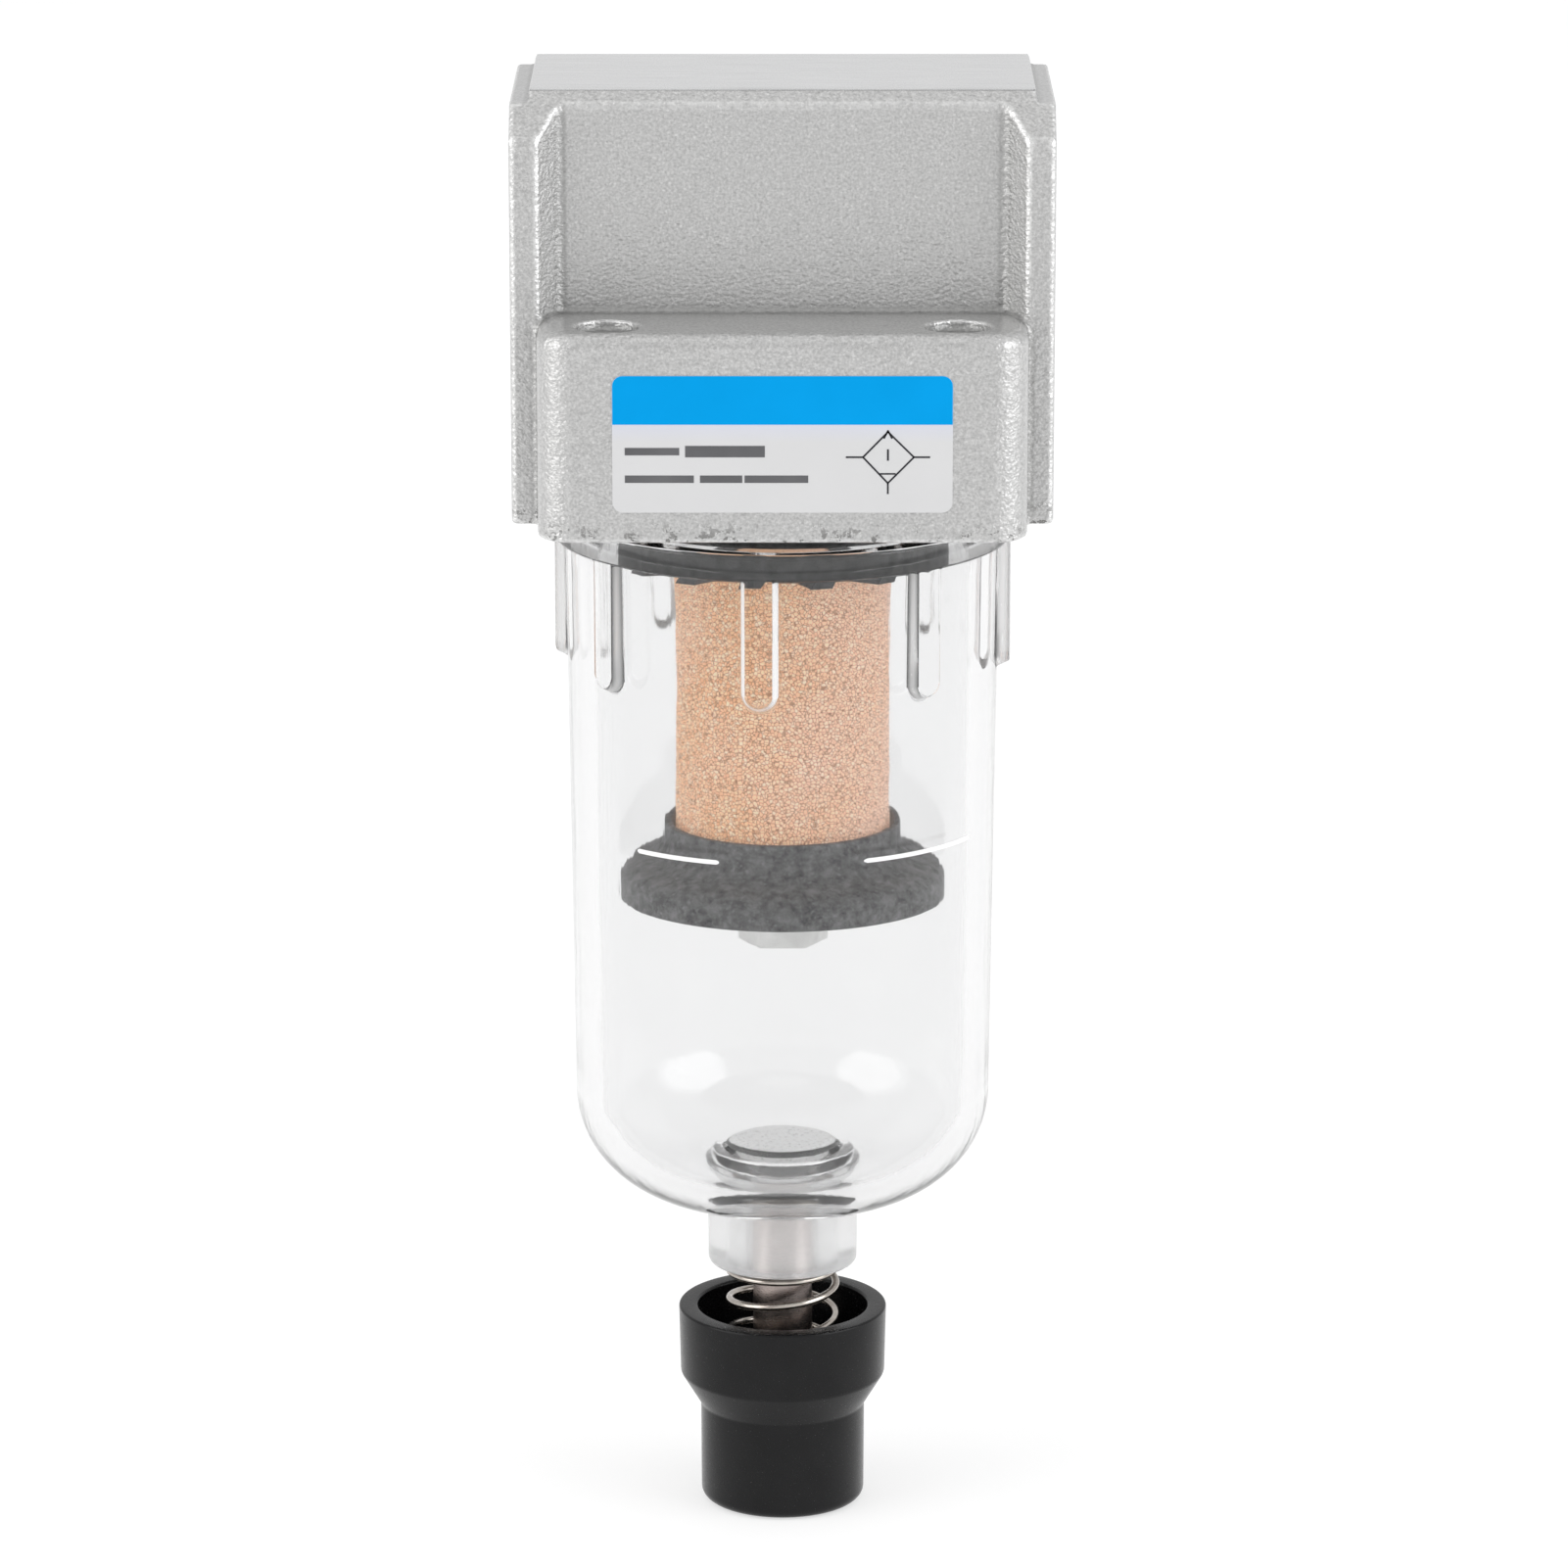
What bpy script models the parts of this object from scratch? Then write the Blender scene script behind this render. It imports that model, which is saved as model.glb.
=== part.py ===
"""Compressed air filter, 1/4 inch modular class, with a screw-on clear bowl,
a sintered element and a spring-return push drain.

Axes: +Z up, the bowl axis is X = Y = 0, the lowest point of the drain knob is
Z = 0. The ports face -X (inlet) and +X (outlet). Lengths below are in
millimetres and are multiplied by MM when the meshes are made.
"""
import math

import bmesh
import bpy
from mathutils import Matrix, Vector

MM = 0.001
GAP = 0.30                      # free space left between pieces that touch

# ---- housing -------------------------------------------------------------
BODY_W = 40.0                   # port face to port face
BODY_TOP = 112.0
BODY_BOTTOM = 80.0
FLANGE_Y = 11.6                 # half depth of the port flanges
FLANGE_CHAMFER = 3.4            # 45 degree chamfer along the top edges
PANEL_Y = 9.25                  # half depth of the slab between the flanges
PANEL_X = 16.45                 # half width of the pocket at the slab
PANEL_TAPER = 1.50              # how far the pocket walls lean out
PANEL_FLOOR = 95.0
TOP_PAD_X = 18.6                # half width of the machined pad on top
TOP_STEP = 0.95
BONNET_X = 17.95
BONNET_Y = 18.0
BONNET_TOP = 95.5
BONNET_CORNER = 2.75
BONNET_EDGE = 1.0
DIMPLE_R = 2.4
DIMPLE_X = 12.8
DIMPLE_Y = 14.5
DIMPLE_DEPTH = 1.0
SOCKET_R = 16.3
SOCKET_TOP = 91.8
NOZZLE_R = 7.3
NOZZLE_BOTTOM = 81.0
OUTLET_BORE_R = 4.6
PORT_Z = 101.0                  # 11 mm under the top face
PORT_R = 6.6                    # G1/4 thread, major diameter 13.16
PORT_DEPTH = 12.0
OUTLET_CROSS_R = 4.9
INLET_DROP_X = -10.9
INLET_DROP_R = 2.9
INSERT_HOLE_R = 3.4
INSERT_HOLE_TOP = 109.5

# ---- bowl thread ---------------------------------------------------------
THREAD_PITCH = 2.0
THREAD_TURNS = 2.75
THREAD_START = 81.5
THREAD_BASE = 1.1
THREAD_CREST = 0.5
MALE_CREST_R = 15.8
FEMALE_CREST_R = 15.45

# ---- bowl ----------------------------------------------------------------
COLLAR_R = 17.3
COLLAR_TOP = 78.9
COLLAR_BOTTOM = 76.9
NECK_R = 15.1
NECK_BORE_R = 13.2
NECK_TOP = 89.95
LIP_R = 13.85
LIP_TOP = 91.4
WALL_TOP_R = 16.38
WALL_LOW_R = 15.87
WALL_LOW_Z = 33.4
WALL_T = 2.0
DOME_W = 9.0                    # the dome is a quarter ellipse, this wide
DOME_H = 8.4                    # and this high
SEAL_POCKET_R = 4.4
SEAL_POCKET_Z = 25.4
BOSS_R = 5.73
BOSS_BOTTOM = 19.3
BOSS_BORE_R = 2.70
RIB_COUNT = 8
RIB_OFFSET_DEG = -5.9
RIB_R = 17.25
RIB_W = 2.7
RIB_BOTTOM = 66.9

# ---- element stack -------------------------------------------------------
ELEMENT_R = 8.05
ELEMENT_BORE_R = 5.6
ELEMENT_BOTTOM = 52.6
ELEMENT_TOP = 76.8
GASKET_R = 8.1
GASKET_BORE_R = 5.4
GASKET_T = 1.2
CUP_BORE_R = 8.45
DEFLECTOR_R = 12.3
DEFLECTOR_TOP = 80.6
DEFLECTOR_T = 2.0
DEFLECTOR_RIM = 76.4
DEFLECTOR_VANES = 15
DEFLECTOR_BOTTOM = 75.5
VANE_TILT_DEG = 28.0
BAFFLE_R = 12.35
BAFFLE_FLOOR = 50.8
BAFFLE_RIM = 47.8
STUD_R = 2.0
STUD_TOP = 108.0

# ---- drain ---------------------------------------------------------------
STEM_R = 2.28
STEM_BORE_R = 1.2
STEM_TOP = 27.8
STEM_BOTTOM = 2.2
HEAD_R = 4.55
HEAD_TOP = 28.8
HEAD_BOTTOM = 27.3
SEAL_R = 3.45
SEAL_WIRE_R = 0.62
SPRING_R = 4.12
SPRING_WIRE_R = 0.225
SPRING_TOP = 18.75
SPRING_BOTTOM = 10.25
SPRING_ACTIVE = 3.1
KNOB_RIM_R = 8.03
KNOB_RIM_TOP = 15.66
KNOB_BORE_R = 6.56
KNOB_FOOT_R = 6.3
KNOB_WEB_TOP = 8.8
KNOB_WEB_BOTTOM = 6.6
KNOB_CAVITY_R = 4.6
NUT_AF = 7.0

# ---- label ---------------------------------------------------------------
LABEL_W = 24.8
LABEL_BOTTOM = 82.35
LABEL_TOP = 92.5
LABEL_CORNER = 0.8
LABEL_T = 0.15


# ==========================================================================
# helpers
# ==========================================================================
def clear_scene():
    for ob in list(bpy.data.objects):
        bpy.data.objects.remove(ob, do_unlink=True)


def material(name, colour, roughness, metallic, alpha=1.0, transmission=0.0):
    mat = bpy.data.materials.new(name)
    mat.use_nodes = True
    bsdf = mat.node_tree.nodes["Principled BSDF"]
    bsdf.inputs["Base Color"].default_value = (*colour, 1.0)
    bsdf.inputs["Roughness"].default_value = roughness
    bsdf.inputs["Metallic"].default_value = metallic
    bsdf.inputs["Alpha"].default_value = alpha
    bsdf.inputs["Transmission Weight"].default_value = transmission
    mat.diffuse_color = (*colour, alpha)
    return mat


def add(name, bm, mat=None):
    mesh = bpy.data.meshes.new(name)
    bm.to_mesh(mesh)
    bm.free()
    ob = bpy.data.objects.new(name, mesh)
    bpy.context.scene.collection.objects.link(ob)
    if mat is not None:
        mesh.materials.append(mat)
    return ob


def lathe(name, profile, segments, mat=None):
    """Turn a profile of (radius, height) about Z. A profile that starts and
    ends on the axis is left open; any other is closed into a ring."""
    bm = bmesh.new()
    verts = [bm.verts.new((r * MM, 0.0, z * MM)) for r, z in profile]
    on_axis = profile[0][0] == 0.0 and profile[-1][0] == 0.0
    count = len(verts) - 1 if on_axis else len(verts)
    edges = [bm.edges.new((verts[i], verts[(i + 1) % len(verts)])) for i in range(count)]
    bmesh.ops.spin(bm, geom=verts + edges, cent=(0, 0, 0), axis=(0, 0, 1),
                   angle=2 * math.pi, steps=segments, use_duplicate=False)
    bmesh.ops.remove_doubles(bm, verts=bm.verts, dist=1e-6)
    bmesh.ops.recalc_face_normals(bm, faces=bm.faces)
    return add(name, bm, mat)


def arc(cx, cz, radius, start_deg, end_deg, steps):
    points = []
    for i in range(steps + 1):
        a = math.radians(start_deg + (end_deg - start_deg) * i / steps)
        points.append((cx + radius * math.cos(a), cz + radius * math.sin(a)))
    return points


def oval(cx, cz, width, height, start_deg, end_deg, steps):
    """Points on an ellipse, by its own angle."""
    points = []
    for i in range(steps + 1):
        a = math.radians(start_deg + (end_deg - start_deg) * i / steps)
        points.append((cx + width * math.cos(a), cz + height * math.sin(a)))
    return points


def ring(name, radius, z, wire, segments, sides, mat=None):
    """An O-ring: a circle of radius wire turned about Z."""
    profile = [(radius + wire * math.cos(2 * math.pi * i / sides),
                z + wire * math.sin(2 * math.pi * i / sides)) for i in range(sides)]
    return lathe(name, profile, segments, mat)


def prism(name, outline, low, high, axis, mat=None):
    """Extrude a flat outline. axis 'Z' takes (x, y), axis 'X' takes (y, z)
    and axis 'Y' takes (x, z)."""
    def place(a, b, c):
        if axis == 'Z':
            return Vector((a, b, c)) * MM
        if axis == 'X':
            return Vector((c, a, b)) * MM
        return Vector((a, c, b)) * MM
    bm = bmesh.new()
    base = bm.faces.new([bm.verts.new(place(a, b, low)) for a, b in outline])
    out = bmesh.ops.extrude_face_region(bm, geom=[base])
    moved = [g for g in out["geom"] if isinstance(g, bmesh.types.BMVert)]
    bmesh.ops.translate(bm, verts=moved, vec=place(0, 0, high - low))
    bmesh.ops.recalc_face_normals(bm, faces=bm.faces)
    return add(name, bm, mat)


def rod(name, radius, start, end, segments, mat=None):
    """A plain cylinder from start to end, both (x, y, z)."""
    a, b = Vector(start) * MM, Vector(end) * MM
    turn = (b - a).to_track_quat('Z', 'Y').to_matrix().to_4x4()
    bm = bmesh.new()
    bmesh.ops.create_cone(bm, cap_ends=True, segments=segments, radius1=radius * MM,
                          radius2=radius * MM, depth=(b - a).length,
                          matrix=Matrix.Translation((a + b) / 2) @ turn)
    return add(name, bm, mat)


def block(name, low, high, mat=None):
    a, b = Vector(low) * MM, Vector(high) * MM
    bm = bmesh.new()
    bmesh.ops.create_cube(bm, size=1.0)
    bmesh.ops.scale(bm, verts=bm.verts, vec=b - a)
    bmesh.ops.translate(bm, verts=bm.verts, vec=(a + b) / 2)
    return add(name, bm, mat)


def rounded_outline(half_w, low, high, radius, steps):
    """A rounded rectangle centred on 0 across, from low to high."""
    corners = [(half_w - radius, low + radius, -90), (half_w - radius, high - radius, 0),
               (-half_w + radius, high - radius, 90), (-half_w + radius, low + radius, 180)]
    points = []
    for cx, cz, start in corners:
        points += arc(cx, cz, radius, start, start + 90, steps)
    return points


def helix_ridge(name, root_r, crest_r, start_z, phase, turns, pitch, base, crest, per_turn):
    """One thread ridge, faded in and out over a quarter turn at each end."""
    bm = bmesh.new()
    steps = int(round(turns * per_turn))
    fade = per_turn / 4
    rings = []
    for i in range(steps + 1):
        a = phase + 2 * math.pi * i / per_turn
        z = start_z + pitch * i / per_turn
        full = min(1.0, (i + 0.4) / fade, (steps - i + 0.4) / fade)
        tip = root_r + (crest_r - root_r) * full
        section = [(root_r, -base / 2), (root_r, base / 2), (tip, crest / 2), (tip, -crest / 2)]
        rings.append([bm.verts.new((r * math.cos(a) * MM, r * math.sin(a) * MM, (z + dz) * MM))
                      for r, dz in section])
    for one, two in zip(rings, rings[1:]):
        for k in range(4):
            bm.faces.new((one[k], one[(k + 1) % 4], two[(k + 1) % 4], two[k]))
    bm.faces.new(rings[0])
    bm.faces.new(rings[-1])
    bmesh.ops.recalc_face_normals(bm, faces=bm.faces)
    return add(name, bm)


def combine(target, tool, operation):
    """Apply one exact Boolean and drop the tool."""
    mod = target.modifiers.new(operation.lower(), 'BOOLEAN')
    mod.operation = operation
    mod.solver = 'EXACT'
    mod.object = tool
    bpy.context.view_layer.update()
    graph = bpy.context.evaluated_depsgraph_get()
    mesh = bpy.data.meshes.new_from_object(target.evaluated_get(graph))
    target.modifiers.remove(mod)
    old = target.data
    target.data = mesh
    bpy.data.meshes.remove(old)
    bpy.data.objects.remove(tool, do_unlink=True)


def cut(target, tool):
    combine(target, tool, 'DIFFERENCE')


def fuse(target, tool):
    combine(target, tool, 'UNION')


def gather(objects, name):
    """Put several loose solids in one tool mesh."""
    bm = bmesh.new()
    for ob in objects:
        bm.from_mesh(ob.data)
    for ob in objects:
        bpy.data.objects.remove(ob, do_unlink=True)
    return add(name, bm)


def finish(ob, mat, parent, z, angle=32.0):
    """Set the material, the smooth shading, and the origin on the axis."""
    mesh = ob.data
    mesh.materials.clear()
    mesh.materials.append(mat)
    mesh.transform(Matrix.Translation((0, 0, -z * MM)))
    ob.location = (0, 0, z * MM - parent.location.z)
    ob.parent = parent
    mesh.shade_smooth()
    mesh.set_sharp_from_angle(angle=math.radians(angle))
    return ob


def empty(name, z, parent=None):
    ob = bpy.data.objects.new(name, None)
    ob.empty_display_size = 0.01
    ob.location = (0, 0, z * MM)
    bpy.context.scene.collection.objects.link(ob)
    return ob


# ==========================================================================
# pieces
# ==========================================================================
def make_housing():
    c = FLANGE_CHAMFER
    body = prism("housing", [(-FLANGE_Y, BODY_BOTTOM), (FLANGE_Y, BODY_BOTTOM),
                             (FLANGE_Y, BODY_TOP - c), (FLANGE_Y - c, BODY_TOP),
                             (-FLANGE_Y + c, BODY_TOP), (-FLANGE_Y, BODY_TOP - c)],
                 -BODY_W / 2, BODY_W / 2, 'X')
    reach = 5.0
    lean = PANEL_TAPER / (FLANGE_Y - PANEL_Y) * reach
    for side in (-1, 1):
        outline = [(-PANEL_X, side * PANEL_Y), (PANEL_X, side * PANEL_Y),
                   (PANEL_X + lean, side * (PANEL_Y + reach)),
                   (-PANEL_X - lean, side * (PANEL_Y + reach))]
        cut(body, prism("pocket", outline, PANEL_FLOOR, BODY_TOP + 2, 'Z'))
    for side in (-1, 1):
        a, b = sorted((side * TOP_PAD_X, side * (BODY_W / 2 + 2)))
        cut(body, block("strip", (a, -15, BODY_TOP - TOP_STEP), (b, 15, BODY_TOP + 2)))

    # bonnet: a box with rounded uprights and an eased top edge
    bonnet = block("bonnet", (-BONNET_X, -BONNET_Y, BODY_BOTTOM), (BONNET_X, BONNET_Y, BONNET_TOP))
    bm = bmesh.new()
    bm.from_mesh(bonnet.data)
    uprights = [e for e in bm.edges
                if abs((e.verts[0].co - e.verts[1].co).z) > 0.5 * (BONNET_TOP - BODY_BOTTOM) * MM]
    bmesh.ops.bevel(bm, geom=uprights, offset=BONNET_CORNER * MM, segments=4,
                    profile=0.5, affect='EDGES')
    top = [e for e in bm.edges if all(abs(v.co.z - BONNET_TOP * MM) < 1e-6 for v in e.verts)]
    bmesh.ops.bevel(bm, geom=top, offset=BONNET_EDGE * MM, segments=2,
                    profile=0.5, affect='EDGES')
    bm.to_mesh(bonnet.data)
    bm.free()
    fuse(body, bonnet)

    dimples = [rod("dimple", DIMPLE_R, (sx * DIMPLE_X, sy * DIMPLE_Y, BONNET_TOP - DIMPLE_DEPTH),
                   (sx * DIMPLE_X, sy * DIMPLE_Y, BONNET_TOP + 2), 20)
               for sx in (-1, 1) for sy in (-1, 1)]
    cut(body, gather(dimples, "dimples"))

    # socket for the bowl neck, with the outlet nozzle standing in it
    cut(body, rod("socket", SOCKET_R, (0, 0, BODY_BOTTOM - 2), (0, 0, SOCKET_TOP), 40))
    fuse(body, rod("nozzle", NOZZLE_R, (0, 0, NOZZLE_BOTTOM), (0, 0, SOCKET_TOP + 1.5), 24))
    # outlet: up the nozzle and out to +X
    cut(body, rod("riser", OUTLET_BORE_R, (0, 0, NOZZLE_BOTTOM - 2), (0, 0, PORT_Z), 24))
    cut(body, rod("cross", OUTLET_CROSS_R, (-5.1, 0, PORT_Z),
                  (BODY_W / 2 - PORT_DEPTH + 0.6, 0, PORT_Z), 24))
    cut(body, rod("outlet", PORT_R, (BODY_W / 2 - PORT_DEPTH, 0, PORT_Z),
                  (BODY_W / 2 + 2, 0, PORT_Z), 28))
    cut(body, rod("insert_hole", INSERT_HOLE_R, (0, 0, PORT_Z + 1.7),
                  (0, 0, INSERT_HOLE_TOP), 20))
    # inlet: in from -X and down into the ring round the nozzle
    cut(body, rod("inlet", PORT_R, (-BODY_W / 2 - 2, 0, PORT_Z),
                  (-BODY_W / 2 + PORT_DEPTH, 0, PORT_Z), 28))
    cut(body, rod("drop", INLET_DROP_R, (INLET_DROP_X, 0, SOCKET_TOP - 1.5),
                  (INLET_DROP_X, 0, PORT_Z), 20))
    # lead-in chamfers of the two ports
    for side in (-1, 1):
        bm = bmesh.new()
        bmesh.ops.create_cone(bm, cap_ends=True, segments=28, radius1=(PORT_R - 0.2) * MM,
                              radius2=(PORT_R + 1.0) * MM, depth=1.2 * MM,
                              matrix=Matrix.Translation(Vector((side * (BODY_W / 2 - 0.2), 0, PORT_Z)) * MM)
                              @ Matrix.Rotation(side * math.pi / 2, 4, 'Y'))
        cut(body, add("lead_in", bm))
    # shallow seat for the label
    seat = rounded_outline(LABEL_W / 2 + GAP, LABEL_BOTTOM - GAP, LABEL_TOP + GAP, LABEL_CORNER, 3)
    cut(body, prism("label_seat", seat, -BONNET_Y + 0.5, -BONNET_Y - 2, 'Y'))
    # female thread ridge
    fuse(body, helix_ridge("female", SOCKET_R + 0.5, FEMALE_CREST_R, THREAD_START + THREAD_PITCH / 2,
                           0.0, THREAD_TURNS, THREAD_PITCH, THREAD_BASE, THREAD_CREST, 20))
    return body


def make_bowl():
    profile = [(LIP_R, LIP_TOP), (LIP_R, NECK_TOP), (NECK_R - 0.3, NECK_TOP), (NECK_R, NECK_TOP - 0.3),
               (NECK_R, COLLAR_TOP), (COLLAR_R - 0.2, COLLAR_TOP), (COLLAR_R, COLLAR_TOP - 0.2),
               (COLLAR_R, COLLAR_BOTTOM + 0.2), (COLLAR_R - 0.2, COLLAR_BOTTOM),
               (WALL_TOP_R, COLLAR_BOTTOM)]
    cx = WALL_LOW_R - DOME_W
    under = WALL_LOW_Z - DOME_H
    profile += oval(cx, WALL_LOW_Z, DOME_W, DOME_H, 0, -90, 6)
    # boss, its bore, and the pocket of the valve seal in the bowl's floor
    profile += [(BOSS_R, under - 0.05), (BOSS_R, BOSS_BOTTOM + 0.25),
                (BOSS_R - 0.25, BOSS_BOTTOM), (BOSS_BORE_R + 0.2, BOSS_BOTTOM),
                (BOSS_BORE_R, BOSS_BOTTOM + 0.2), (BOSS_BORE_R, SEAL_POCKET_Z),
                (SEAL_POCKET_R, SEAL_POCKET_Z), (SEAL_POCKET_R, under + WALL_T)]
    profile += oval(cx, WALL_LOW_Z, DOME_W - WALL_T, DOME_H - WALL_T, -90, 0, 5)
    profile += [(WALL_TOP_R - WALL_T - 0.2, COLLAR_BOTTOM), (NECK_BORE_R, COLLAR_BOTTOM + 2.2),
                (NECK_BORE_R, LIP_TOP)]
    bowl = lathe("bowl", profile, 40)
    ribs = []
    for k in range(RIB_COUNT):
        side = [(15.3, COLLAR_BOTTOM + 0.6), (RIB_R, COLLAR_BOTTOM + 0.6), (RIB_R, RIB_BOTTOM + 1.1),
                (RIB_R - 0.35, RIB_BOTTOM + 0.4), (16.1, RIB_BOTTOM), (15.3, RIB_BOTTOM)]
        rib = prism("rib", side, -RIB_W / 2, RIB_W / 2, 'Y')
        # the outline lies in X-Z, so +X turns to the rib's direction
        phi = math.radians(RIB_OFFSET_DEG + 360.0 / RIB_COUNT * k)
        rib.data.transform(Matrix.Rotation(phi - math.pi / 2, 4, 'Z'))
        ribs.append(rib)
    fuse(bowl, gather(ribs, "ribs"))
    fuse(bowl, helix_ridge("male", NECK_R - 0.5, MALE_CREST_R, THREAD_START, 0.0, THREAD_TURNS,
                           THREAD_PITCH, THREAD_BASE + 0.4, THREAD_CREST, 20))
    return bowl


def make_deflector():
    plate_low = DEFLECTOR_TOP - DEFLECTOR_T
    profile = [(5.0, DEFLECTOR_TOP), (DEFLECTOR_R - 0.3, DEFLECTOR_TOP), (DEFLECTOR_R, DEFLECTOR_TOP - 0.3),
               (DEFLECTOR_R, DEFLECTOR_RIM), (DEFLECTOR_R - 1.0, DEFLECTOR_RIM),
               (DEFLECTOR_R - 1.0, plate_low), (CUP_BORE_R + 0.85, plate_low),
               (CUP_BORE_R + 0.85, 76.0), (CUP_BORE_R, 76.0), (CUP_BORE_R, plate_low), (5.0, plate_low)]
    plate = lathe("deflector", profile, 32)
    slots = []
    vanes = []
    for k in range(DEFLECTOR_VANES):
        turn = Matrix.Rotation(2 * math.pi * (k + 0.5) / DEFLECTOR_VANES, 4, 'Z')
        slot = block("slot", (9.6, -1.2, plate_low - 0.5), (11.0, 1.2, DEFLECTOR_TOP + 0.5))
        slot.data.transform(turn)
        slots.append(slot)
        # a blade under the plate, leaning round the axis
        turn = Matrix.Rotation(2 * math.pi * k / DEFLECTOR_VANES, 4, 'Z')
        low, high = DEFLECTOR_BOTTOM, plate_low + 0.7
        slope = math.tan(math.radians(VANE_TILT_DEG))
        outline = [(-0.75 - slope * (high - low) / 2, low), (0.75 - slope * (high - low) / 2, low),
                   (0.6 + slope * (high - low) / 2, high), (-0.6 + slope * (high - low) / 2, high)]
        vane = prism("vane", outline, CUP_BORE_R + 0.45, DEFLECTOR_R - 0.25, 'X')
        vane.data.transform(turn)
        vanes.append(vane)
    cut(plate, gather(slots, "slots"))
    fuse(plate, gather(vanes, "vanes"))
    return plate


def make_baffle():
    profile = [(STUD_R + 0.35, BAFFLE_FLOOR), (CUP_BORE_R, BAFFLE_FLOOR), (CUP_BORE_R, 53.6),
               (9.0, 53.6), (9.15, 51.7), (10.2, 51.0), (11.7, 50.4), (BAFFLE_R, 49.8),
               (BAFFLE_R, BAFFLE_RIM), (BAFFLE_R - 0.9, BAFFLE_RIM), (BAFFLE_R - 1.2, 49.0),
               (5.0, 49.2), (4.6, 47.2), (STUD_R + 0.35, 47.2)]
    return lathe("baffle", profile, 32)


def make_stud():
    stud = lathe("element_stud", [(0, STUD_TOP), (STUD_R - 0.5, STUD_TOP), (STUD_R, STUD_TOP - 0.5),
                                  (STUD_R, 46.0), (0, 46.0)], 16)
    head = [(3.4 * math.cos(math.pi / 3 * k), 3.4 * math.sin(math.pi / 3 * k)) for k in range(6)]
    fuse(stud, prism("hex", head, 45.3, 46.9, 'Z'))
    return stud


def make_spring():
    """A compression spring with one closed coil at each end."""
    per_turn = 12
    lead = SPRING_WIRE_R * 2.3
    active = SPRING_TOP - SPRING_BOTTOM - 2 * lead
    total = SPRING_ACTIVE + 2.0
    steps = int(round(total * per_turn))
    curve = bpy.data.curves.new("drain_spring", 'CURVE')
    curve.dimensions = '3D'
    curve.bevel_depth = SPRING_WIRE_R * MM
    curve.bevel_resolution = 1
    curve.use_fill_caps = True
    spline = curve.splines.new('POLY')
    spline.points.add(steps)
    for i in range(steps + 1):
        t = i / per_turn
        if t < 1:
            z = lead * t
        elif t > total - 1:
            z = lead + active + lead * (t - total + 1)
        else:
            z = lead + active * (t - 1) / SPRING_ACTIVE
        a = 2 * math.pi * t
        spline.points[i].co = (SPRING_R * math.cos(a) * MM, SPRING_R * math.sin(a) * MM,
                               (SPRING_BOTTOM + z - SPRING_TOP) * MM, 1.0)
    ob = bpy.data.objects.new("drain_spring", curve)
    bpy.context.scene.collection.objects.link(ob)
    return ob


def make_knob():
    profile = [(KNOB_RIM_R - 0.15, KNOB_RIM_TOP), (KNOB_RIM_R, KNOB_RIM_TOP - 0.15), (7.9, 10.3),
               (KNOB_FOOT_R, 7.6)]
    profile += arc(KNOB_FOOT_R - 1.5, 1.5, 1.5, 0, -90, 4)
    profile += [(KNOB_CAVITY_R, 0.0), (KNOB_CAVITY_R, KNOB_WEB_BOTTOM), (STEM_R + 0.34, KNOB_WEB_BOTTOM),
                (STEM_R + 0.34, KNOB_WEB_TOP), (KNOB_BORE_R - 0.3, KNOB_WEB_TOP),
                (KNOB_BORE_R, KNOB_WEB_TOP + 0.5), (KNOB_BORE_R, KNOB_RIM_TOP)]
    return lathe("drain_knob", profile, 32)


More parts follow.
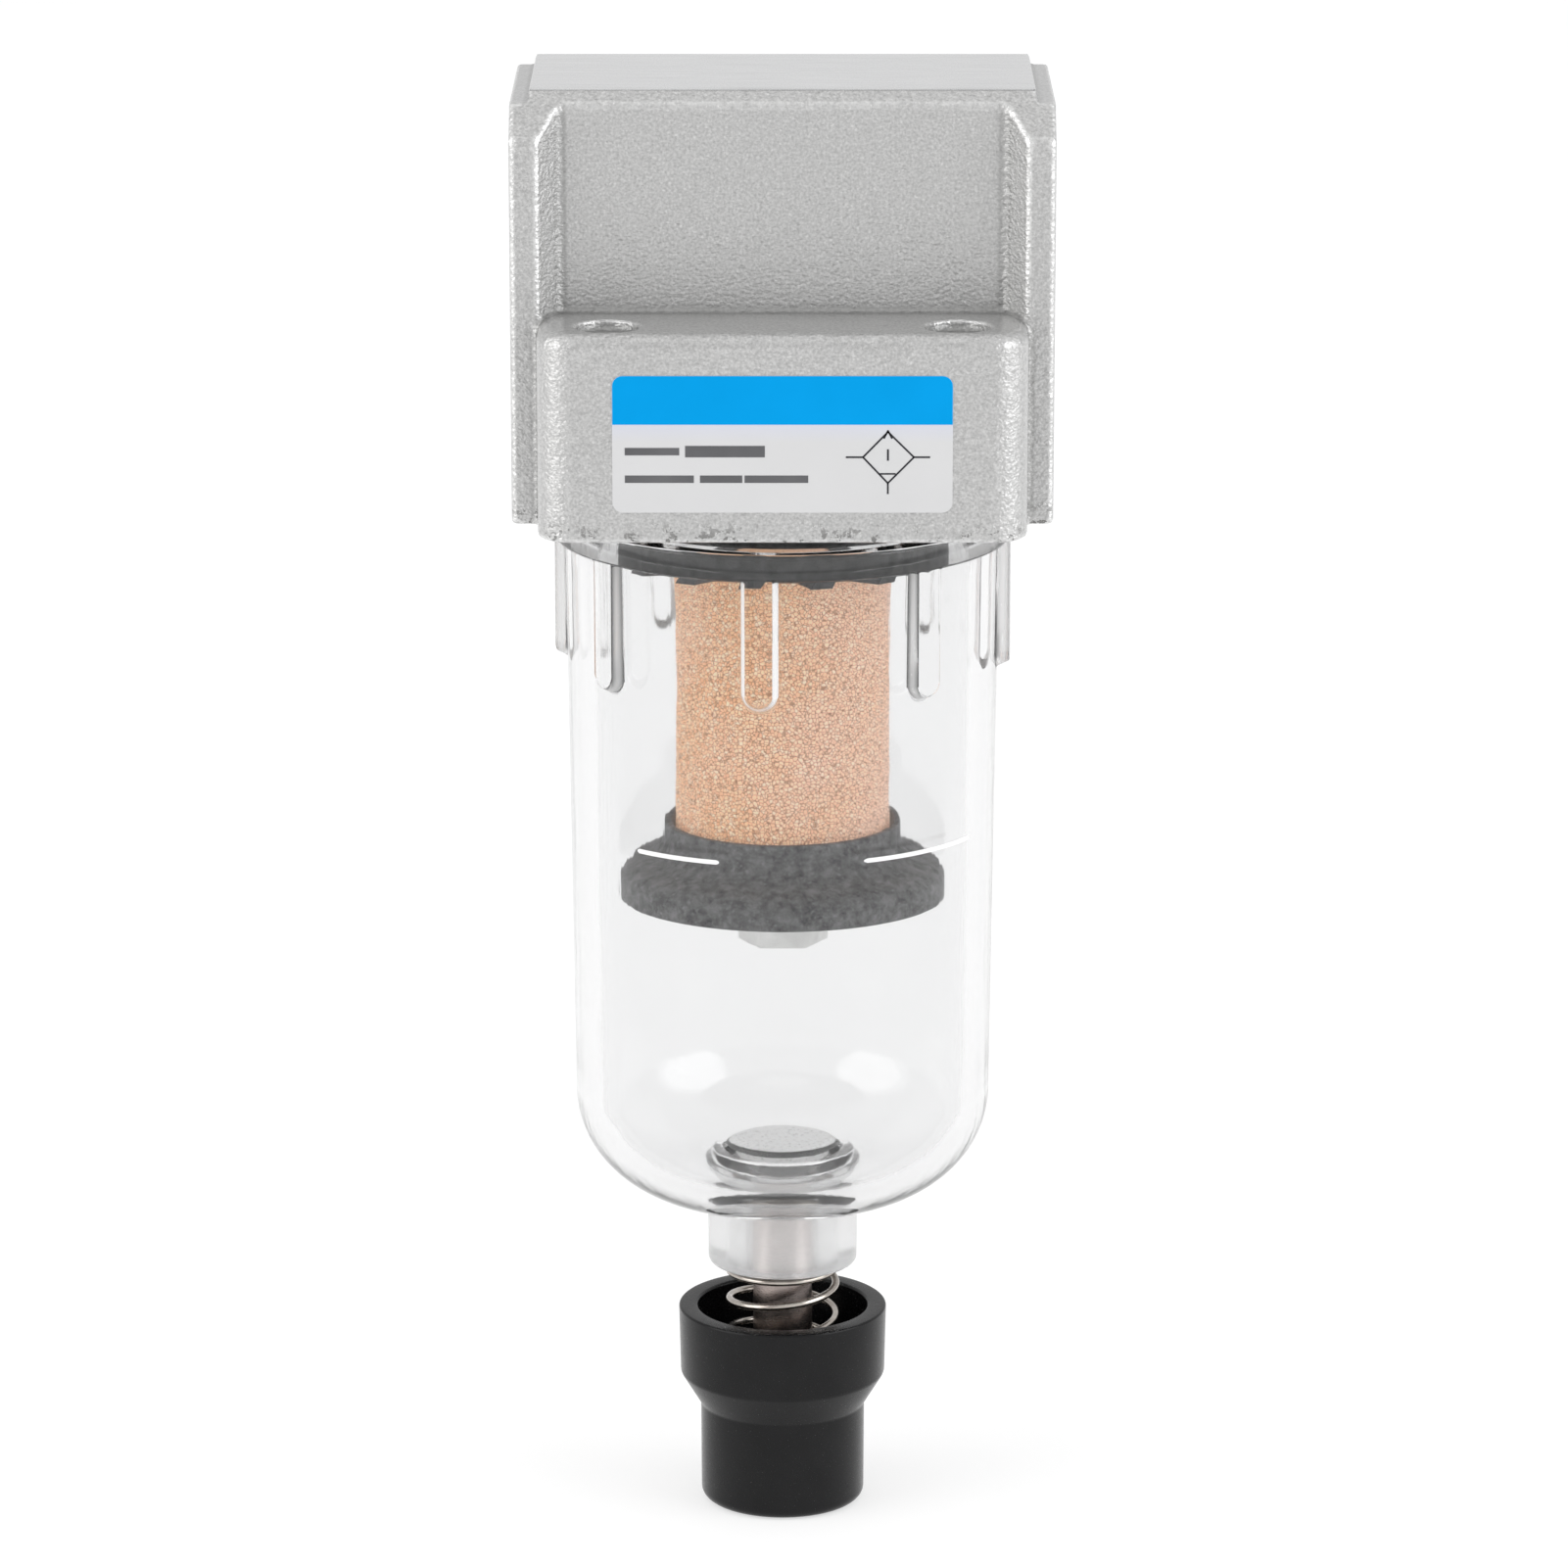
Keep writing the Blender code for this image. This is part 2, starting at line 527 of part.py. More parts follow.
def main():
    clear_scene()
    paint = material("silver_paint", (0.50, 0.50, 0.49), 0.45, 0.75)
    label_film = material("label_film", (0.72, 0.74, 0.76), 0.4, 0.0)
    clear = material("clear_polycarbonate", (0.93, 0.95, 0.96), 0.06, 0.0, 0.35, 0.9)
    bronze = material("sintered_bronze", (0.66, 0.42, 0.28), 0.55, 0.8)
    dark = material("dark_nylon", (0.07, 0.075, 0.08), 0.5, 0.0)
    rubber = material("black_rubber", (0.02, 0.02, 0.02), 0.7, 0.0)
    steel = material("bright_steel", (0.62, 0.62, 0.60), 0.25, 1.0)
    brass = material("brass", (0.70, 0.52, 0.25), 0.3, 1.0)
    black = material("black_plastic", (0.015, 0.015, 0.016), 0.35, 0.0)

    # one empty for each moving group, on that group's own axis
    fixed = empty("fixed_group", PORT_Z)
    element_axis = empty("element_axis", ELEMENT_TOP)
    baffle_axis = empty("baffle_axis", BAFFLE_FLOOR)
    ring_axis = empty("bowl_ring_axis", COLLAR_TOP)
    bowl_axis = empty("bowl_axis", COLLAR_TOP)
    drain_axis = empty("drain_axis", BOSS_BOTTOM)
    knob_axis = empty("knob_axis", KNOB_RIM_TOP)

    finish(make_housing(), paint, fixed, PORT_Z, 28.0)
    outline = rounded_outline(LABEL_W / 2, LABEL_BOTTOM, LABEL_TOP, LABEL_CORNER, 3)
    finish(prism("label", outline, -BONNET_Y + 0.05, -BONNET_Y + 0.05 + LABEL_T, 'Y'),
           label_film, fixed, LABEL_BOTTOM)
    finish(lathe("stud_insert", [(STUD_R + 0.3, 109.2), (3.1, 109.2), (3.1, 103.6), (STUD_R + 0.3, 103.6)], 20),
           brass, fixed, PORT_Z)
    finish(make_deflector(), dark, fixed, DEFLECTOR_TOP)

    gasket_top = DEFLECTOR_TOP - DEFLECTOR_T - GAP
    finish(lathe("element_top_gasket", [(GASKET_BORE_R, gasket_top), (GASKET_R, gasket_top),
                                        (GASKET_R, gasket_top - GASKET_T), (GASKET_BORE_R, gasket_top - GASKET_T)], 32),
           rubber, element_axis, ELEMENT_TOP)
    finish(lathe("filter_element", [(ELEMENT_BORE_R, ELEMENT_TOP), (ELEMENT_R, ELEMENT_TOP),
                                    (ELEMENT_R, ELEMENT_BOTTOM), (ELEMENT_BORE_R, ELEMENT_BOTTOM)], 32),
           bronze, element_axis, ELEMENT_TOP)
    low = BAFFLE_FLOOR + GAP
    finish(lathe("element_bottom_gasket", [(GASKET_BORE_R, low + GASKET_T), (GASKET_R, low + GASKET_T),
                                           (GASKET_R, low), (GASKET_BORE_R, low)], 32),
           rubber, element_axis, ELEMENT_BOTTOM)
    finish(make_baffle(), dark, baffle_axis, BAFFLE_FLOOR)
    finish(make_stud(), steel, baffle_axis, BAFFLE_FLOOR)

    finish(ring("bowl_o_ring", 14.62, 90.87, 0.60, 40, 6, None), rubber, ring_axis, COLLAR_TOP)
    finish(make_bowl(), clear, bowl_axis, COLLAR_TOP, 30.0)

    stem = lathe("valve_stem", [(STEM_BORE_R, STEM_TOP), (STEM_R, STEM_TOP), (STEM_R, STEM_BOTTOM),
                                (STEM_BORE_R, STEM_BOTTOM)], 24)
    cut(stem, rod("cross_hole", 0.55, (-4, 0, 24.0), (4, 0, 24.0), 12))
    finish(stem, steel, drain_axis, BOSS_BOTTOM)
    finish(lathe("valve_head", [(0, HEAD_TOP), (HEAD_R - 0.7, HEAD_TOP), (HEAD_R - 0.25, HEAD_TOP - 0.15),
                                (HEAD_R, HEAD_TOP - 0.5), (HEAD_R, HEAD_BOTTOM + 0.3), (HEAD_R - 0.3, HEAD_BOTTOM),
                                (STEM_R + 0.3, HEAD_BOTTOM), (STEM_R + 0.3, STEM_TOP + 0.3), (0, STEM_TOP + 0.3)], 28),
           steel, drain_axis, BOSS_BOTTOM)
    finish(ring("valve_seal", SEAL_R, 26.35, SEAL_WIRE_R, 24, 6), rubber, drain_axis, BOSS_BOTTOM)
    finish(lathe("spring_washer", [(STEM_R + 0.32, 9.7), (5.2, 9.7), (5.2, 9.1), (STEM_R + 0.32, 9.1)], 28),
           steel, drain_axis, BOSS_BOTTOM)
    hexagon = [(NUT_AF / 2 / math.cos(math.pi / 6) * math.cos(math.pi / 3 * k + 0.3),
                NUT_AF / 2 / math.cos(math.pi / 6) * math.sin(math.pi / 3 * k + 0.3)) for k in range(6)]
    nut = prism("knob_nut", hexagon, 3.6, KNOB_WEB_BOTTOM - GAP, 'Z')
    cut(nut, rod("nut_hole", STEM_R + 0.3, (0, 0, 0), (0, 0, 12), 24))
    finish(nut, brass, drain_axis, BOSS_BOTTOM)

    spring = make_spring()
    spring.data.materials.append(steel)
    spring.location = (0, 0, SPRING_TOP * MM - bowl_axis.location.z)
    spring.parent = bowl_axis
    for spline in spring.data.splines:
        spline.use_smooth = True

    finish(make_knob(), black, knob_axis, KNOB_RIM_TOP)


main()
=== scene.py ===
import math

import bmesh
import bpy
import numpy as np
from mathutils import Matrix, Vector, kdtree


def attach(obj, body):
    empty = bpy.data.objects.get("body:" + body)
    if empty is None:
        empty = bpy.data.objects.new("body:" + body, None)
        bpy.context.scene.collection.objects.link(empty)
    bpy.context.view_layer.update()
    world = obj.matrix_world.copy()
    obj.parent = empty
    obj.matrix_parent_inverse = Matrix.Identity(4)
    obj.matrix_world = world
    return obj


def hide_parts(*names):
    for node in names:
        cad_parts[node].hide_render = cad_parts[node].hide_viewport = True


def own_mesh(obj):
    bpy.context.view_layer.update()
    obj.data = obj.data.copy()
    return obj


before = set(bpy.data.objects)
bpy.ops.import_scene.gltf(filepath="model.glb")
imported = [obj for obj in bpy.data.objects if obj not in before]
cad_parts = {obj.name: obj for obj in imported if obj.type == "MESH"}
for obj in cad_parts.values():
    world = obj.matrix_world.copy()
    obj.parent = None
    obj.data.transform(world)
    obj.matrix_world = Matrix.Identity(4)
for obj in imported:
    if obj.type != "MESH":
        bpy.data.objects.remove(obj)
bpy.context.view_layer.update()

MM = 0.001
scene = bpy.context.scene
scene.view_settings.view_transform = 'Standard'
scene.view_settings.look = 'None'

# ==========================================================================
# camera, floor and light
# ==========================================================================
cam_data = bpy.data.cameras.new("camera")
cam_data.sensor_width = 36.0
cam_data.lens = 36.0 * 7500.0 / 1601.0
cam_data.clip_start, cam_data.clip_end = 0.02, 20.0
camera = bpy.data.objects.new("camera", cam_data)
camera.location = (0.00011, -0.54161, 0.19789)
camera.rotation_euler = (math.radians(90 - 14.56), 0, 0)
scene.collection.objects.link(camera)
scene.camera = camera


def area_light(name, location, target, size, size_y, power, colour=(1, 1, 1)):
    data = bpy.data.lights.new(name, 'AREA')
    data.shape = 'ELLIPSE'
    data.size, data.size_y = size, size_y
    data.energy = power
    data.color = colour
    ob = bpy.data.objects.new(name, data)
    ob.location = location
    ob.rotation_euler = (Vector(target) - Vector(location)).to_track_quat('-Z', 'Y').to_euler()
    scene.collection.objects.link(ob)
    return ob


sun_data = bpy.data.lights.new("overhead", 'SUN')
sun_data.energy = 0.28
sun_data.angle = math.radians(60)
sun = bpy.data.objects.new("overhead", sun_data)
sun.rotation_euler = (Vector((0.10, 0.30, -0.9))).to_track_quat('-Z', 'Y').to_euler()
scene.collection.objects.link(sun)
area_light("left", (-0.65, -0.30, 0.30), (0, 0, 0.07), 0.70, 0.80, 2.6, (1.0, 0.995, 0.985))
area_light("right", (0.66, -0.29, 0.28), (0, 0, 0.07), 0.70, 0.80, 2.9, (0.99, 0.995, 1.0))

# a plain sky, paler overhead than at the horizon
world = bpy.data.worlds.new("studio")
world.use_nodes = True
scene.world = world
wt = world.node_tree
bg = wt.nodes["Background"]
direction = wt.nodes.new("ShaderNodeTexCoord")
split = wt.nodes.new("ShaderNodeSeparateXYZ")
sky = wt.nodes.new("ShaderNodeValToRGB")
sky.color_ramp.elements[0].position = 0.02
sky.color_ramp.elements[0].color = (0.73, 0.73, 0.735, 1)
sky.color_ramp.elements[1].position = 0.75
sky.color_ramp.elements[1].color = (0.75, 0.75, 0.75, 1)
wt.links.new(direction.outputs["Generated"], split.inputs[0])
wt.links.new(split.outputs[2], sky.inputs["Fac"])
wt.links.new(sky.outputs["Color"], bg.inputs["Color"])
bg.inputs["Strength"].default_value = 1.0


# ==========================================================================
# material helpers
# ==========================================================================
class Mat:
    """A Principled material with short calls for its procedural nodes."""

    def __init__(self, name, **sockets):
        self.mat = bpy.data.materials.new(name)
        self.mat.use_nodes = True
        self.tree = self.mat.node_tree
        self.bsdf = self.tree.nodes["Principled BSDF"]
        for key, value in sockets.items():
            key = key.replace("_", " ")
            if isinstance(value, tuple):
                value = (*value, 1.0)
            self.bsdf.inputs[key].default_value = value
        self.coord = self.tree.nodes.new("ShaderNodeTexCoord").outputs["Object"]

    def node(self, kind, **props):
        n = self.tree.nodes.new(kind)
        for k, v in props.items():
            setattr(n, k, v)
        return n

    def link(self, a, b):
        self.tree.links.new(a, b)

    def scaled(self, x, y, z):
        n = self.node("ShaderNodeMapping")
        self.link(self.coord, n.inputs["Vector"])
        n.inputs["Scale"].default_value = (x, y, z)
        return n.outputs["Vector"]

    def noise(self, size_mm, detail=2.0, rough=0.5, vector=None, distortion=0.0):
        n = self.node("ShaderNodeTexNoise")
        self.link(vector or self.coord, n.inputs["Vector"])
        n.inputs["Scale"].default_value = 1.0 / (size_mm * MM)
        n.inputs["Detail"].default_value = detail
        n.inputs["Roughness"].default_value = rough
        n.inputs["Distortion"].default_value = distortion
        return n.outputs["Fac"]

    def cells(self, size_mm, feature='F1', vector=None, out="Distance", randomness=1.0):
        n = self.node("ShaderNodeTexVoronoi", feature=feature)
        self.link(vector or self.coord, n.inputs["Vector"])
        n.inputs["Scale"].default_value = 1.0 / (size_mm * MM)
        n.inputs["Randomness"].default_value = randomness
        return n.outputs[out]

    def ramp(self, fac, stops):
        n = self.node("ShaderNodeValToRGB")
        self.link(fac, n.inputs["Fac"])
        while len(n.color_ramp.elements) < len(stops):
            n.color_ramp.elements.new(0.5)
        for el, (pos, col) in zip(n.color_ramp.elements, stops):
            el.position = pos
            el.color = (*col, 1.0) if isinstance(col, tuple) else (col, col, col, 1.0)
        return n.outputs["Color"]

    def remap(self, fac, a, b, c, d):
        n = self.node("ShaderNodeMapRange")
        self.link(fac, n.inputs["Value"])
        n.inputs["From Min"].default_value = a
        n.inputs["From Max"].default_value = b
        n.inputs["To Min"].default_value = c
        n.inputs["To Max"].default_value = d
        return n.outputs["Result"]

    def math(self, op, a, b):
        n = self.node("ShaderNodeMath", operation=op)
        for i, v in enumerate((a, b)):
            if isinstance(v, (int, float)):
                n.inputs[i].default_value = v
            else:
                self.link(v, n.inputs[i])
        return n.outputs[0]

    def mix(self, fac, a, b, blend='MIX'):
        n = self.node("ShaderNodeMix", data_type='RGBA', blend_type=blend)
        for sock, v in ((n.inputs[0], fac), (n.inputs[6], a), (n.inputs[7], b)):
            if isinstance(v, (int, float)):
                sock.default_value = v
            elif isinstance(v, tuple):
                sock.default_value = (*v, 1.0)
            else:
                self.link(v, sock)
        return n.outputs[2]

    def bump(self, height, distance_mm, strength=1.0, after=None):
        n = self.node("ShaderNodeBump")
        n.inputs["Distance"].default_value = distance_mm * MM
        n.inputs["Strength"].default_value = strength
        self.link(height, n.inputs["Height"])
        if after is not None:
            self.link(after, n.inputs["Normal"])
        return n.outputs["Normal"]

    def attribute(self, name):
        n = self.node("ShaderNodeAttribute", attribute_name=name)
        return n.outputs["Fac"]

    def set(self, **links):
        for key, out in links.items():
            self.link(out, self.bsdf.inputs[key.replace("_", " ")])
        return self

    def height(self):
        """World height in metres as a value."""
        n = self.node("ShaderNodeSeparateXYZ")
        self.link(self.coord, n.inputs[0])
        return n.outputs


def paint_material():
    m = Mat("silver_paint", Metallic=0.68, Specular_IOR_Level=0.45, Coat_Weight=1.0, Coat_Roughness=0.24, Coat_IOR=1.5)
    xyz = m.height()
    fine = m.noise(0.21, 2.5, 0.6)
    flow = m.noise(7.0, 2.0, 0.5)
    base = m.ramp(fine, [(0.28, (0.365, 0.364, 0.361)), (0.5, (0.474, 0.472, 0.468)), (0.74, (0.600, 0.598, 0.593))])
    # metal flakes: painted glints, a few cells lightened as if turned to the light, and a few darker specks
    flake_glint_and_speck = m.node("ShaderNodeSeparateColor")
    m.link(m.cells(0.15, out="Color"), flake_glint_and_speck.inputs[0])
    base = m.mix(m.remap(flake_glint_and_speck.outputs[0], 0.93, 0.99, 0.0, 0.28), base, (0.80, 0.80, 0.79))
    base = m.mix(m.remap(flake_glint_and_speck.outputs[1], 0.0, 0.14, 0.34, 0.0), base, (0.28, 0.28, 0.275))
    base = m.mix(m.remap(flow, 0.35, 0.65, 0.0, 0.12), base, (0.43, 0.43, 0.425))
    # painted highlight along outside edges, partly edge wear where the paint is thin, and painted shade in inside
    # corners
    edge = m.attribute("edge")
    edge_highlight_and_wear = m.math('MULTIPLY', m.remap(edge, 0.32, 1.0, 0.0, 0.72), m.remap(m.noise(0.45, 2.0, 0.6), 0.35, 0.6, 0.25, 1.0))
    base = m.mix(edge_highlight_and_wear, base, (0.86, 0.86, 0.855))
    # painted shade: inside corners and creases darkened
    base = m.mix(m.remap(edge, -0.10, -0.6, 0.0, 0.72), base, (0.20, 0.20, 0.195))
    # small casting pits low on the bonnet
    pits = m.noise(0.8, 3.0, 0.7)
    low = m.remap(xyz[2], 0.0803, 0.0820, 1.0, 0.0)
    pit = m.math('MULTIPLY', m.remap(pits, 0.57, 0.62, 0.0, 1.0), low)
    base = m.mix(m.math('MULTIPLY', pit, 0.85), base, (0.12, 0.118, 0.112))
    # the milled pad on top is finer and lighter
    pad = m.remap(xyz[2], 0.11180, 0.11190, 0.0, 1.0)
    mill = m.noise(0.5, 2.0, 0.5, vector=m.scaled(0.08, 1.0, 1.0))
    base = m.mix(pad, base, m.ramp(mill, [(0.3, (0.64, 0.643, 0.647)), (0.7, (0.75, 0.752, 0.755))]))
    rough = m.remap(fine, 0.3, 0.75, 0.42, 0.32)
    rough = m.math('SUBTRACT', rough, m.math('MULTIPLY', pad, 0.08))
    rough = m.math('SUBTRACT', rough, m.math('MULTIPLY', edge_highlight_and_wear, 0.10))
    grain = m.noise(0.31, 1.5, 0.5, vector=m.scaled(0.85, 1.0, 1.15))
    keep = m.remap(pad, 0.0, 1.0, 1.0, 0.12)
    n = m.bump(m.math('MULTIPLY', grain, keep), 0.13, 1.0)
    n = m.bump(m.math('MULTIPLY', m.noise(1.1, 1.0, 0.5), keep), 0.09, 0.8, n)
    n = m.bump(m.math('SUBTRACT', 1.0, pit), 0.12, 0.8, n)
    return m.set(Base_Color=base, Roughness=rough, Normal=n).mat


def bare_material():
    """Machined metal of the port threads and the inside faces."""
    m = Mat("machined_metal", Metallic=1.0)
    xyz = m.scaled(3.0, 0.25, 0.25)
    lines = m.noise(0.25, 2.0, 0.6, vector=xyz)
    spots = m.noise(1.6, 3.0, 0.55)
    base = m.ramp(spots, [(0.3, (0.52, 0.52, 0.52)), (0.7, (0.68, 0.68, 0.67))])
    rough = m.remap(lines, 0.3, 0.7, 0.22, 0.40)
    n = m.bump(lines, 0.02, 0.7)
    return m.set(Base_Color=base, Roughness=rough, Normal=n).mat


def clear_material():
    m = Mat("clear_polycarbonate", Base_Color=(0.898, 0.899, 0.901), IOR=1.50, Specular_IOR_Level=0.5)
    xyz = m.height()
    streak = m.noise(1.6, 3.0, 0.6, vector=m.scaled(1.0, 1.0, 0.10))
    haze = m.noise(5.0, 3.0, 0.6)
    fine = m.noise(0.12, 2.0, 0.5, vector=m.scaled(1.0, 1.0, 0.2))
    rough = m.math('ADD', m.remap(haze, 0.35, 0.8, 0.035, 0.075), m.remap(fine, 0.72, 0.8, 0.0, 0.05))
    # the boss is duller, as turned after moulding
    boss = m.remap(xyz[2], 0.0242, 0.0250, 1.0, 0.0)
    rough = m.math('ADD', rough, m.math('MULTIPLY', boss, 0.16))
    # drawn faces at the sides of the ribs are a little cloudy
    side = m.attribute("side")
    rough = m.math('ADD', rough, m.math('MULTIPLY', side, 0.22))
    cloud = m.math('ADD', m.math('MULTIPLY', boss, 0.24), m.math('MULTIPLY', side, 0.6))
    clear = m.math('SUBTRACT', 1.0, cloud)
    n = m.bump(streak, 0.022, 0.5)
    return m.set(Roughness=rough, Normal=n, Transmission_Weight=clear).mat


def bronze_material():
    # painted light: the bronze glows a little through its emission, though it is no lamp
    m = Mat("sintered_bronze", Metallic=0.0, Specular_IOR_Level=0.3, Emission_Strength=0.37)
    ball = m.cells(0.27, out="Color")
    tone = m.node("ShaderNodeSeparateColor")
    m.link(ball, tone.inputs[0])
    xyz = m.height()
    wide = m.noise(9.0, 2.0, 0.5)
    fine = m.noise(0.20, 2.0, 0.6)
    base = m.ramp(tone.outputs[0], [(0.0, (0.82, 0.46, 0.25)), (0.30, (1.0, 0.62, 0.37)),
                                    (0.72, (1.0, 0.72, 0.48)), (1.0, (1.0, 0.84, 0.66))])
    # warmer on one side, pinker on the other
    side = m.math('ADD', m.remap(xyz[0], -0.003, 0.008, 0.0, 0.7), m.remap(wide, 0.35, 0.65, -0.15, 0.25))
    base = m.mix(side, base, (1.0, 0.75, 0.65))
    rough = m.remap(fine, 0.3, 0.7, 0.22, 0.45)
    gap = m.cells(0.27, feature='DISTANCE_TO_EDGE')
    # painted shade: the gaps between the balls are darkened
    base = m.mix(m.remap(gap, 0.0, 0.14, 0.94, 0.0), base, (0.30, 0.12, 0.05))
    # painted glow colour for the emission
    glow = m.mix(1.0, base, (1.0, 0.82, 0.66), 'MULTIPLY')
    n = m.bump(m.remap(gap, 0.0, 0.4, 0.0, 1.0), 0.09, 0.9)
    return m.set(Base_Color=base, Emission_Color=glow, Roughness=rough, Normal=n).mat


def dark_plastic(name, dark, light, rough_a, rough_b, grain_mm, depth_mm, patch_mm=2.6, gloss=0.45, dust=0.35):
    m = Mat(name, Metallic=0.0, Specular_IOR_Level=gloss)
    wide = m.noise(patch_mm, 5.0, 0.65)
    grain = m.noise(grain_mm, 3.0, 0.65)
    base = m.ramp(wide, [(0.34, dark), (0.66, light)])
    base = m.mix(m.remap(grain, 0.55, 0.75, 0.0, dust), base, tuple(min(1.0, 2.0 * c) for c in light))
    rough = m.remap(grain, 0.3, 0.7, rough_a, rough_b)
    n = m.bump(grain, depth_mm, 0.8)
    return m.set(Base_Color=base, Roughness=rough, Normal=n).mat


def rubber_material(name="black_rubber", dark=0.012, light=0.03):
    m = Mat(name, Specular_IOR_Level=0.35)
    grain = m.noise(0.15, 3.0, 0.6)
    wide = m.noise(2.2, 2.0, 0.5)
    base = m.ramp(wide, [(0.35, (dark, dark, dark)), (0.7, (light, light, light))])
    n = m.bump(grain, 0.02, 0.7)
    return m.set(Base_Color=base, Roughness=m.remap(grain, 0.3, 0.7, 0.5, 0.72), Normal=n).mat


def steel_material(name, low, high, rough_a, rough_b, along=(0.25, 0.25, 4.0), painted_lift=None, metal=1.0):
    m = Mat(name, Metallic=metal)
    lines = m.noise(0.12, 2.0, 0.6, vector=m.scaled(*along))
    spots = m.noise(2.4, 3.0, 0.6)
    base = m.ramp(spots, [(0.3, low), (0.7, high)])
    if painted_lift:
        # painted light: the colour is lightened above a given height
        base = m.mix(m.remap(m.height()[2], painted_lift[0], painted_lift[1], 0.0, 0.8), base, painted_lift[2])
    n = m.bump(lines, 0.006, 0.6)
    return m.set(Base_Color=base, Roughness=m.remap(lines, 0.3, 0.7, rough_a, rough_b), Normal=n).mat


def disc_material():
    """Satin metal, turned, with a painted dark line of shade at its rim and a painted glow from emission."""
    # painted light: the disc glows a little through emission
    m = Mat("satin_steel", Metallic=0.25, Emission_Strength=0.22)
    xyz = m.height()
    radius = m.math('SQRT', m.math('ADD', m.math('MULTIPLY', xyz[0], xyz[0]), m.math('MULTIPLY', xyz[1], xyz[1])), 0.0)
    lines = m.noise(0.35, 2.0, 0.6)
    base = m.ramp(lines, [(0.3, (0.82, 0.82, 0.815)), (0.7, (0.95, 0.95, 0.945))])
    # painted shade: a dark line at the rim
    base = m.mix(m.remap(radius, 0.00412, 0.00422, 0.0, 0.95), base, (0.02, 0.02, 0.02))
    n = m.bump(lines, 0.006, 0.6)
    return m.set(Base_Color=base, Emission_Color=base, Roughness=m.remap(lines, 0.3, 0.7, 0.24, 0.40), Normal=n).mat


PAINT = paint_material()
BARE = bare_material()
CLEAR = clear_material()
BRONZE = bronze_material()
NYLON = dark_plastic("dark_nylon", (0.008, 0.009, 0.010), (0.056, 0.057, 0.058), 0.5, 0.72, 0.22, 0.03, 0.8, 0.25, 0.25)
BAFFLE = dark_plastic("baffle_nylon", (0.010, 0.011, 0.012), (0.19, 0.191, 0.193), 0.5, 0.74, 0.30, 0.05, 0.85, 0.3, 0.6)
BLACK = dark_plastic("black_plastic", (0.0042, 0.0042, 0.0046), (0.0064, 0.0064, 0.0068), 0.20, 0.30, 0.30, 0.004, 2.6, 0.22, 0.03)
RUBBER = rubber_material()
PALE_RUBBER = rubber_material("pale_rubber", 0.40, 0.50)
STEEL = steel_material("bright_steel", (0.55, 0.55, 0.54), (0.70, 0.70, 0.69), 0.14, 0.30)
# painted light: the stem is lighter above 19.3 to 19.7 mm, where it stands inside the bowl's cloudy boss
STEM = steel_material("stem_steel", (0.40, 0.34, 0.32), (0.56, 0.48, 0.45), 0.22, 0.38, painted_lift=(0.0193, 0.0197, (0.92, 0.83, 0.80)))
WIRE = steel_material("spring_steel", (0.34, 0.30, 0.27), (0.60, 0.56, 0.51), 0.12, 0.24)
DISC = disc_material()
BRASS = steel_material("brass", (0.60, 0.42, 0.17), (0.75, 0.57, 0.28), 0.2, 0.36)


# ==========================================================================
# mesh helpers
# ==========================================================================
def add_mesh(name, verts, faces, mats, smooth=True, sharp=None):
    mesh = bpy.data.meshes.new(name)
    mesh.from_pydata(verts, [], faces)
    mesh.validate()
    for mat in (mats if isinstance(mats, (list, tuple)) else [mats]):
        mesh.materials.append(mat)
    if smooth:
        mesh.shade_smooth()
    if sharp is not None:
        mesh.set_sharp_from_angle(angle=math.radians(sharp))
    ob = bpy.data.objects.new(name, mesh)
    scene.collection.objects.link(ob)
    return ob


def from_bm(name, bm, mats, sharp=35.0):
    mesh = bpy.data.meshes.new(name)
    bmesh.ops.recalc_face_normals(bm, faces=bm.faces)
    bm.to_mesh(mesh)
    bm.free()
    for mat in (mats if isinstance(mats, (list, tuple)) else [mats]):
        mesh.materials.append(mat)
    mesh.shade_smooth()
    mesh.set_sharp_from_angle(angle=math.radians(sharp))
    ob = bpy.data.objects.new(name, mesh)
    scene.collection.objects.link(ob)
    return ob


def rounded(profile, radius, steps=4, closed=True):
    """Round each corner of a profile of (r, z, optional own radius)."""
    pts = [(p[0], p[1]) for p in profile]
    radii = [p[2] if len(p) > 2 else radius for p in profile]
    n = len(pts)
    out = []
    for i in range(n):
        p = Vector(pts[i])
        if not closed and i in (0, n - 1) or radii[i] <= 0:
            out.append((p.x, p.y))
            continue
        a, b = Vector(pts[i - 1]), Vector(pts[(i + 1) % n])
        u, v = (a - p), (b - p)
        lu, lv = u.length, v.length
        u.normalize()
        v.normalize()
        ang = u.angle(v)
        if ang > math.pi - 0.02:
            out.append((p.x, p.y))
            continue
        t = min(radii[i] / math.tan(ang / 2), 0.49 * lu, 0.49 * lv)
        r = t * math.tan(ang / 2)
        centre = p + (u + v).normalized() * (r / math.sin(ang / 2))
        s, e = p + u * t - centre, p + v * t - centre
        sweep = s.angle_signed(e)
        for k in range(steps + 1):
            w = s.copy()
            w.rotate(Matrix.Rotation(-sweep * k / steps, 2))
            out.append((centre.x + w.x, centre.y + w.y))
    return out


